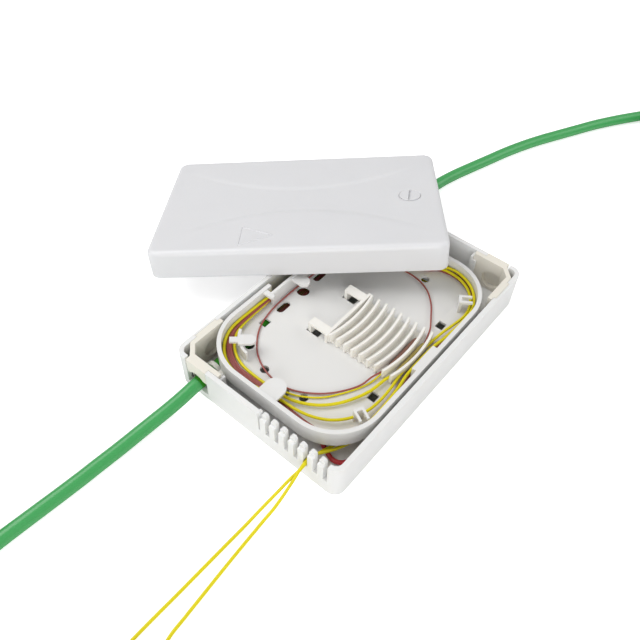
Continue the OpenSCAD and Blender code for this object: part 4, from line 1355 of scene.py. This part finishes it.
@dataclass
class Tray:
    """The splice tray, its comb, the two splices and every fibre in the box."""

    x: float = -3.5
    length: float = 135.0
    width: float = 94.4
    radius: float = 27.0
    wall: float = 2.2
    deck: float = 13.6
    comb_x: float = -3.5
    comb_z: float = 13.65
    fin_l: float = 36.0
    fin_pitch: float = 4.8
    fin_y0: float = 0.4
    fin_n: int = 9
    fin_curve: float = 70.0
    sleeve_d: float = 2.0
    sleeve_l: float = 24.0
    fibre_d: float = 0.9
    jacket_d: float = 1.6
    relief: float = 6.9
    lock_x: float = 62.5
    outlet_y: float = -32.875

    def build(self) -> None:
        """Makes the tray and the comb, then the splices and fibres."""
        softened("splice_tray", "tray_shell", TRAY_WHITE, 0.25)
        # The comb's colour carries painted light against the shade it sits in.
        softened("splice_comb", "comb_fins", COMB_PALE_PAINTED_LIGHT, 0.2)
        sag = self.fin_l**2 / 8 / self.fin_curve
        shift = -sag / 2 + self.sleeve_l**2 / 16 / self.fin_curve
        self.sleeve_z = self.comb_z + 1 + self.sleeve_d / 2 + 0.1
        self.slot_2 = self.fin_y0 - (self.fin_n - 1.5) * self.fin_pitch + shift
        self.slot_1 = self.slot_2 + self.fin_pitch
        self.swing = sag / 2 - shift - 0.3
        self.splice("splice_1", SLEEVE_BROWN, self.slot_1, "splice_sleeve_1")
        self.splice("splice_2", SLEEVE_AMBER, self.slot_2, "splice_sleeve_2")
        self.brown()
        self.spare()
        self.yellow()
        self.red()

    def splice(self, name: str, finish: Finish, y: float, node: str) -> None:
        """A shrunk sleeve: a lathe whose ends taper onto the fibre.

        Args:
            name: The piece's name.
            finish: What it is made of.
            y: Where it lies.
            node: The CAD node it replaces.
        """
        r, h = self.sleeve_d / 2, self.sleeve_l
        profile = np.array([
            (0, 0), (0.45 * r, 0), (0.6 * r, 0.4), (0.93 * r, 1.4), (r, 2.4), (0.97 * r, h / 2),
            (r, h - 2.4),
            (0.93 * r, h - 1.4), (0.6 * r, h - 0.4), (0.45 * r, h), (0, h),
        ])
        at = along_x(-LEFTWARD, np.array([self.comb_x - h / 2, y, self.sleeve_z]))
        make_piece(name, lathe(profile, 24).placed(at), finish, node, smooth=50.0)

    @staticmethod
    def arc(
        cx: float, cy: float, r: float, a: float, b: float, z: float, n: int = 6
    ) -> list[Point]:
        """Points on an arc from angle a to b in degrees."""
        t = np.radians(np.linspace(a, b, n + 1))
        return [(cx + r * np.cos(k), cy + r * np.sin(k), z) for k in t]

    def left_loop(self, d: float, z: float) -> list[Point]:
        """Points along the tray's wall, inset by d, round its left end."""
        x0 = self.x - self.length / 2 + self.radius
        y1 = self.width / 2 - self.radius
        r = self.radius - self.wall - d
        return self.arc(x0, y1, r, 90, 180, z) + self.arc(x0, -y1, r, 180, 270, z)

    def near_side(self, d: float, z: float) -> list[Point]:
        """Points along the tray's near wall, inset by d past the hooks on it."""
        y = -self.width / 2 + self.wall + 2.4 + d
        return [(self.x + a, y - b, z) for a, b in ((-22, 1.6), (-10, 0), (10, 0), (22, 1.6))]

    def right_loop(self, d: float, z: float) -> list[Point]:
        """Points along the tray's wall, inset by d, round its right end and the lock's relief."""
        x1 = self.x + self.length / 2 - self.radius
        y1 = self.width / 2 - self.radius
        r = self.radius - self.wall - d
        m, k = self.relief + self.wall + d, self.lock_x
        bend = [
            (k - 4.7, -m - 1, z), (k - m * 0.74, -m * 0.74, z), (k - m - 0.6, 0, z),
            (k - m * 0.74, m * 0.74, z), (k - 4.7, m + 1, z),
        ]
        return self.arc(x1, -y1, r, -90, 0, z, 5) + bend + self.arc(x1, y1, r, 0, 90, z, 5)

    def laid(self, points: list[Point]) -> list[Point]:
        """Points from the tray's middle and deck, in the object's frame."""
        low = self.deck + self.fibre_d / 2 + 0.3
        return [(self.x + a, b, low + c) for a, b, c in points]

    @staticmethod
    def fibre(name: str, points: list[Point], d: float, finish: Finish, *nodes: str) -> None:
        """One fibre of diameter d on a smooth line through points."""
        line = smooth_path(np.array(points, float), 0.8)
        make_piece(name, tube(line, d / 2, 12), finish, *nodes, smooth=CORD_SMOOTH)

    def brown(self) -> None:
        """The two coated fibres that go into the splices."""
        c, s = self.comb_x, self.sleeve_l / 2
        start = self.laid([
            (22, 37.6, 0), (12, 38.4, 0), (-12, 38.8, 0), (-23, 37.8, 0), (-33, 35, 0),
            (-41, 30, 0), (-47.4, 23.5, 0),
            (-51.5, 15.8, 0), (-53.4, 8, 0), (-53.2, 0, 0), (-50.4, -7.6, 0.1),
            (-43.9, -16.8, 0.3), (-36.6, -23, 0.5),
            (-28.6, -27.4, 0.8),
        ])
        in_comb = [
            (c - self.fin_l / 2 - 4, self.slot_1 + self.swing + 1.2, self.sleeve_z),
            (c - self.fin_l / 2, self.slot_1 + self.swing, self.sleeve_z),
            (c - s - 1, self.slot_1, self.sleeve_z), (c - s, self.slot_1, self.sleeve_z),
        ]
        self.fibre("fibre_brown_1", start + in_comb, self.fibre_d, COATING_BROWN, "brown_fibre_1")
        out = [
            (c + s, self.slot_2, self.sleeve_z), (c + s + 1, self.slot_2, self.sleeve_z),
            (c + self.fin_l / 2, self.slot_2 + self.swing, self.sleeve_z),
            (c + self.fin_l / 2 + 4, self.slot_2 + self.swing + 1.4, self.sleeve_z),
        ]
        end = self.laid([
            (30, -28.6, 0.8), (38, -23.2, 0.4), (45, -15.5, 0.1), (48.2, -7, 0), (48.6, 3, 0),
            (47, 13, 0),
            (41.5, 24, 0), (34, 31.5, 0), (22, 36.4, 0),
        ])
        self.fibre("fibre_brown_2", out + end, self.fibre_d, COATING_BROWN, "brown_fibre_2")

    def band(self, k: int) -> list[Point]:
        """Points of the k-th spare brown turn along the tray's upper left wall.

        The inset from the wall grows by smoothstep of the angle, from a tight
        bundle at the entry gap to a flat band at the left end.

        Args:
            k: 0 to 3 for the upper layer, 4 to 7 for the lower one.

        Returns:
            The points.
        """
        col, low = k % 4, k // 4
        a = np.linspace(90, 180, 9)
        t = ease((a - 95) / 55)
        inset = 2.0 + 0.3 * col + 0.4 * low + (0.7 + 0.45 * col) * t
        r = self.radius - self.wall - inset
        cx, cy = self.x - self.length / 2 + self.radius, self.width / 2 - self.radius
        a = np.radians(a)
        z = np.full(9, 16.7 - 0.9 * low)
        return list(zip(cx + r * np.cos(a), cy + r * np.sin(a), z))

    def spare(self) -> None:
        """The spare turns by the tray's wall, under and between the jacketed fibres.

        Each brown turn comes up through the entry gap and runs once round the
        tray, with a slow waver of 0.1 mm in height. The brown turns are partly
        the real spare fibres and partly painted shade: their band fills the dark
        gap between the jacketed fibres, which is shadow as well as fibre.
        """
        turns = []
        for k in range(8):
            col, row = k % 4, k // 4
            low, inset = 14.2 + 0.8 * row, 0.7 + 0.5 * col
            points = [
                (14, 43.4 - 0.2 * col, 7 + 0.6 * k), (6, 43.6 - 0.3 * col, 10 + 0.5 * k),
                (-6, 43.7 - 0.4 * col, 15.4 - 0.8 * row), *self.band(k),
                (-65.2 + 0.6 * col, 8, 16.0 - 0.8 * row),
                (-66.2 + 0.6 * col, -6, 15.2 - 0.6 * row),
                *self.left_loop(inset, low)[9:], *self.near_side(0.6 + 0.55 * col, low),
                *self.right_loop(inset, low)[:-2],
            ]
            line = smooth_path(np.array(points, float), 1.2)
            u = np.linspace(0, 1, len(line))
            line[:, 2] += 0.1 * np.sin(u * 60 + 2.1 * k)
            turns.append(tube(line, self.fibre_d / 2 - 0.02, 8))
        # The brown turns are partly spare fibres and partly painted shade between the jacketed
        # fibres.
        make_piece("fibre_spare_turns_and_painted_shade", joined(turns), COATING_BROWN, smooth=CORD_SMOOTH)
        c = self.comb_x
        thin = [(x, y, 14.4) for x, y in (
            (-59.6, 9), (-59, 0), (-56.4, -8), (-50, -17), (-42.6, -22.6), (-34, -27.4),
            (-27, -29.9),
        )] + [
            (c - self.fin_l / 2, self.slot_1 + self.swing - 0.9, 15.2),
            (c - 8, self.slot_1 - 1.1, 15.2),
        ]
        self.fibre("fibre_yellow_thin", thin, 0.9, JACKET_YELLOW)
        loop = [(12, 44, 9), (4, 44, 12), (-6, 43.9, 15), (-14, 43.9, 15.8), (-24, 43.9, 15.9)] + [
            (a, b, 15.9) for a, b, _ in self.left_loop(1.2, 0)[1:7]
        ] + [(a, b, 16.6) for a, b in (
            (-67, 11), (-65.6, 3), (-64.4, -5), (-63.8, -13), (-61.6, -22), (-57, -30),
            (-50.2, -35.8), (-42, -39.2), (-33, -40.2), (-25.5, -39.9), (-13.5, -38.6),
            (6.5, -38.6), (18.5, -39.6),
        )] + [(a, b, 16.2) for a, b, _ in self.right_loop(2.8, 0)[:-2]]
        self.fibre("fibre_yellow_spare", loop, self.jacket_d - 0.1, JACKET_YELLOW)

    def yellow(self) -> None:
        """The two jacketed fibres, from the outlet slot to the splices and round the tray."""
        d, y = self.jacket_d, self.outlet_y
        low, high = 10.5, 12.2
        lap = self.width / 2 - self.wall - d / 2 - 0.3
        c, s = self.comb_x, self.sleeve_l / 2
        first = [
            (-80, y, low), (-75, y, low), (-70.5, y - 0.6, 8.6), (-62.5, -35, 6), (-52, -37, 4),
            (-38, -38.5, 3.3),
            (-15, -39, 3.3), (10, -39, 3.3), (30, -37.6, 3.3), (43, -32.8, 3.3), (50.5, -24, 3.3),
            (53, -12, 3.3),
            (52.6, 0, 3.3), (51.5, 14, 3.3), (47, 26, 3.3), (39.5, 35.6, 3.1), (30, 42.3, 3.4),
            (20, 43.6, 5.6),
            (9, 43.6, 9.4), (-3, 43.2, 13), (-16, lap - 0.4, 15.2),
            (-26, 42.6, 15.6), (-35, 42.4, 15.6), (-42, 41.8, 15.6), (-48.4, 40.2, 15.6),
            (-54.5, 36, 15.6),
            (-58.9, 30.3, 15.6), (-61.2, 24, 15.6), (-62, 16, 15.6), (-62, 8, 15.6),
            (-61.8, 0, 15.6), (-60.8, -7, 15.6),
            (-58.4, -13.4, 15.6), (-54.4, -19.6, 15.6), (-48.5, -25.2, 15.6), (-41, -29.7, 15.6),
            (-32.6, -33, 15.7),
            (c - self.fin_l / 2, self.slot_2 + self.swing, self.sleeve_z),
            (c - s - 1, self.slot_2, self.sleeve_z), (c - s, self.slot_2, self.sleeve_z),
        ]
        self.fibre("fibre_yellow_1", first, d - 0.02, JACKET_YELLOW, "yellow_fibre_1")
        second = [
            (-80, y, high), (-75, y, high), (-70.5, y - 2, 10.4), (-62.5, -38, 7.4),
            (-52, -40.6, 5), (-38, -41.4, 3.4),
            (-15, -41.8, 3.3), (10, -41.8, 3.3), (31, -40.6, 3.3), (45, -35, 3.3),
            (53, -25.4, 3.3), (55.4, -12, 3.3),
            (54.9, 0, 3.3), (54, 14, 3.3), (49.4, 27.4, 3.3), (41.5, 37.8, 3.1), (31, 44.6, 3.4),
            (20, 45.4, 6.6),
            (9, 45.2, 11), (-3, 44.8, 15), (-16, lap, 17),
        ]
        for part in (self.left_loop, self.near_side, self.right_loop):
            second += part(d / 2 + 0.3, 17.6)
        self.fibre("fibre_yellow_2", second, d - 0.02, JACKET_YELLOW, "yellow_fibre_2")

    def red(self) -> None:
        """The loose tube on the tub's floor, round the outside of the tray."""
        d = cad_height("red_tube")
        z = 2 + d / 2 + 0.05
        points = [
            (20, 42.8), (8, 43.4), (-10, 43.8), (-28, 43.8), (-42, 43.6), (-53, 43.2),
            (-60.2, 41), (-62, 36), (-62, 29),
            (-61, 19), (-60.4, 8), (-60.2, -5), (-60.6, -17), (-62.4, -27), (-65.6, -34),
            (-67, -39.4), (-64.4, -43.8),
            (-57.4, -45.8), (-44, -46.2), (-28, -46.2), (-8, -46),
        ]
        self.fibre("loose_tube_red", [(a, b, z) for a, b in points], d - 0.02, TUBE_RED, "red_tube")


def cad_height(node: str) -> float:
    """A CAD node's height in millimetres."""
    lo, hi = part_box(node)
    return float(hi[2] - lo[2]) / MM


def main() -> None:
    """Builds the studio, then each sub-assembly."""
    Studio().build()
    build_cords()
    Lid().build()
    Tub().build()
    Tray().build()


if __name__ == "__main__":
    main()
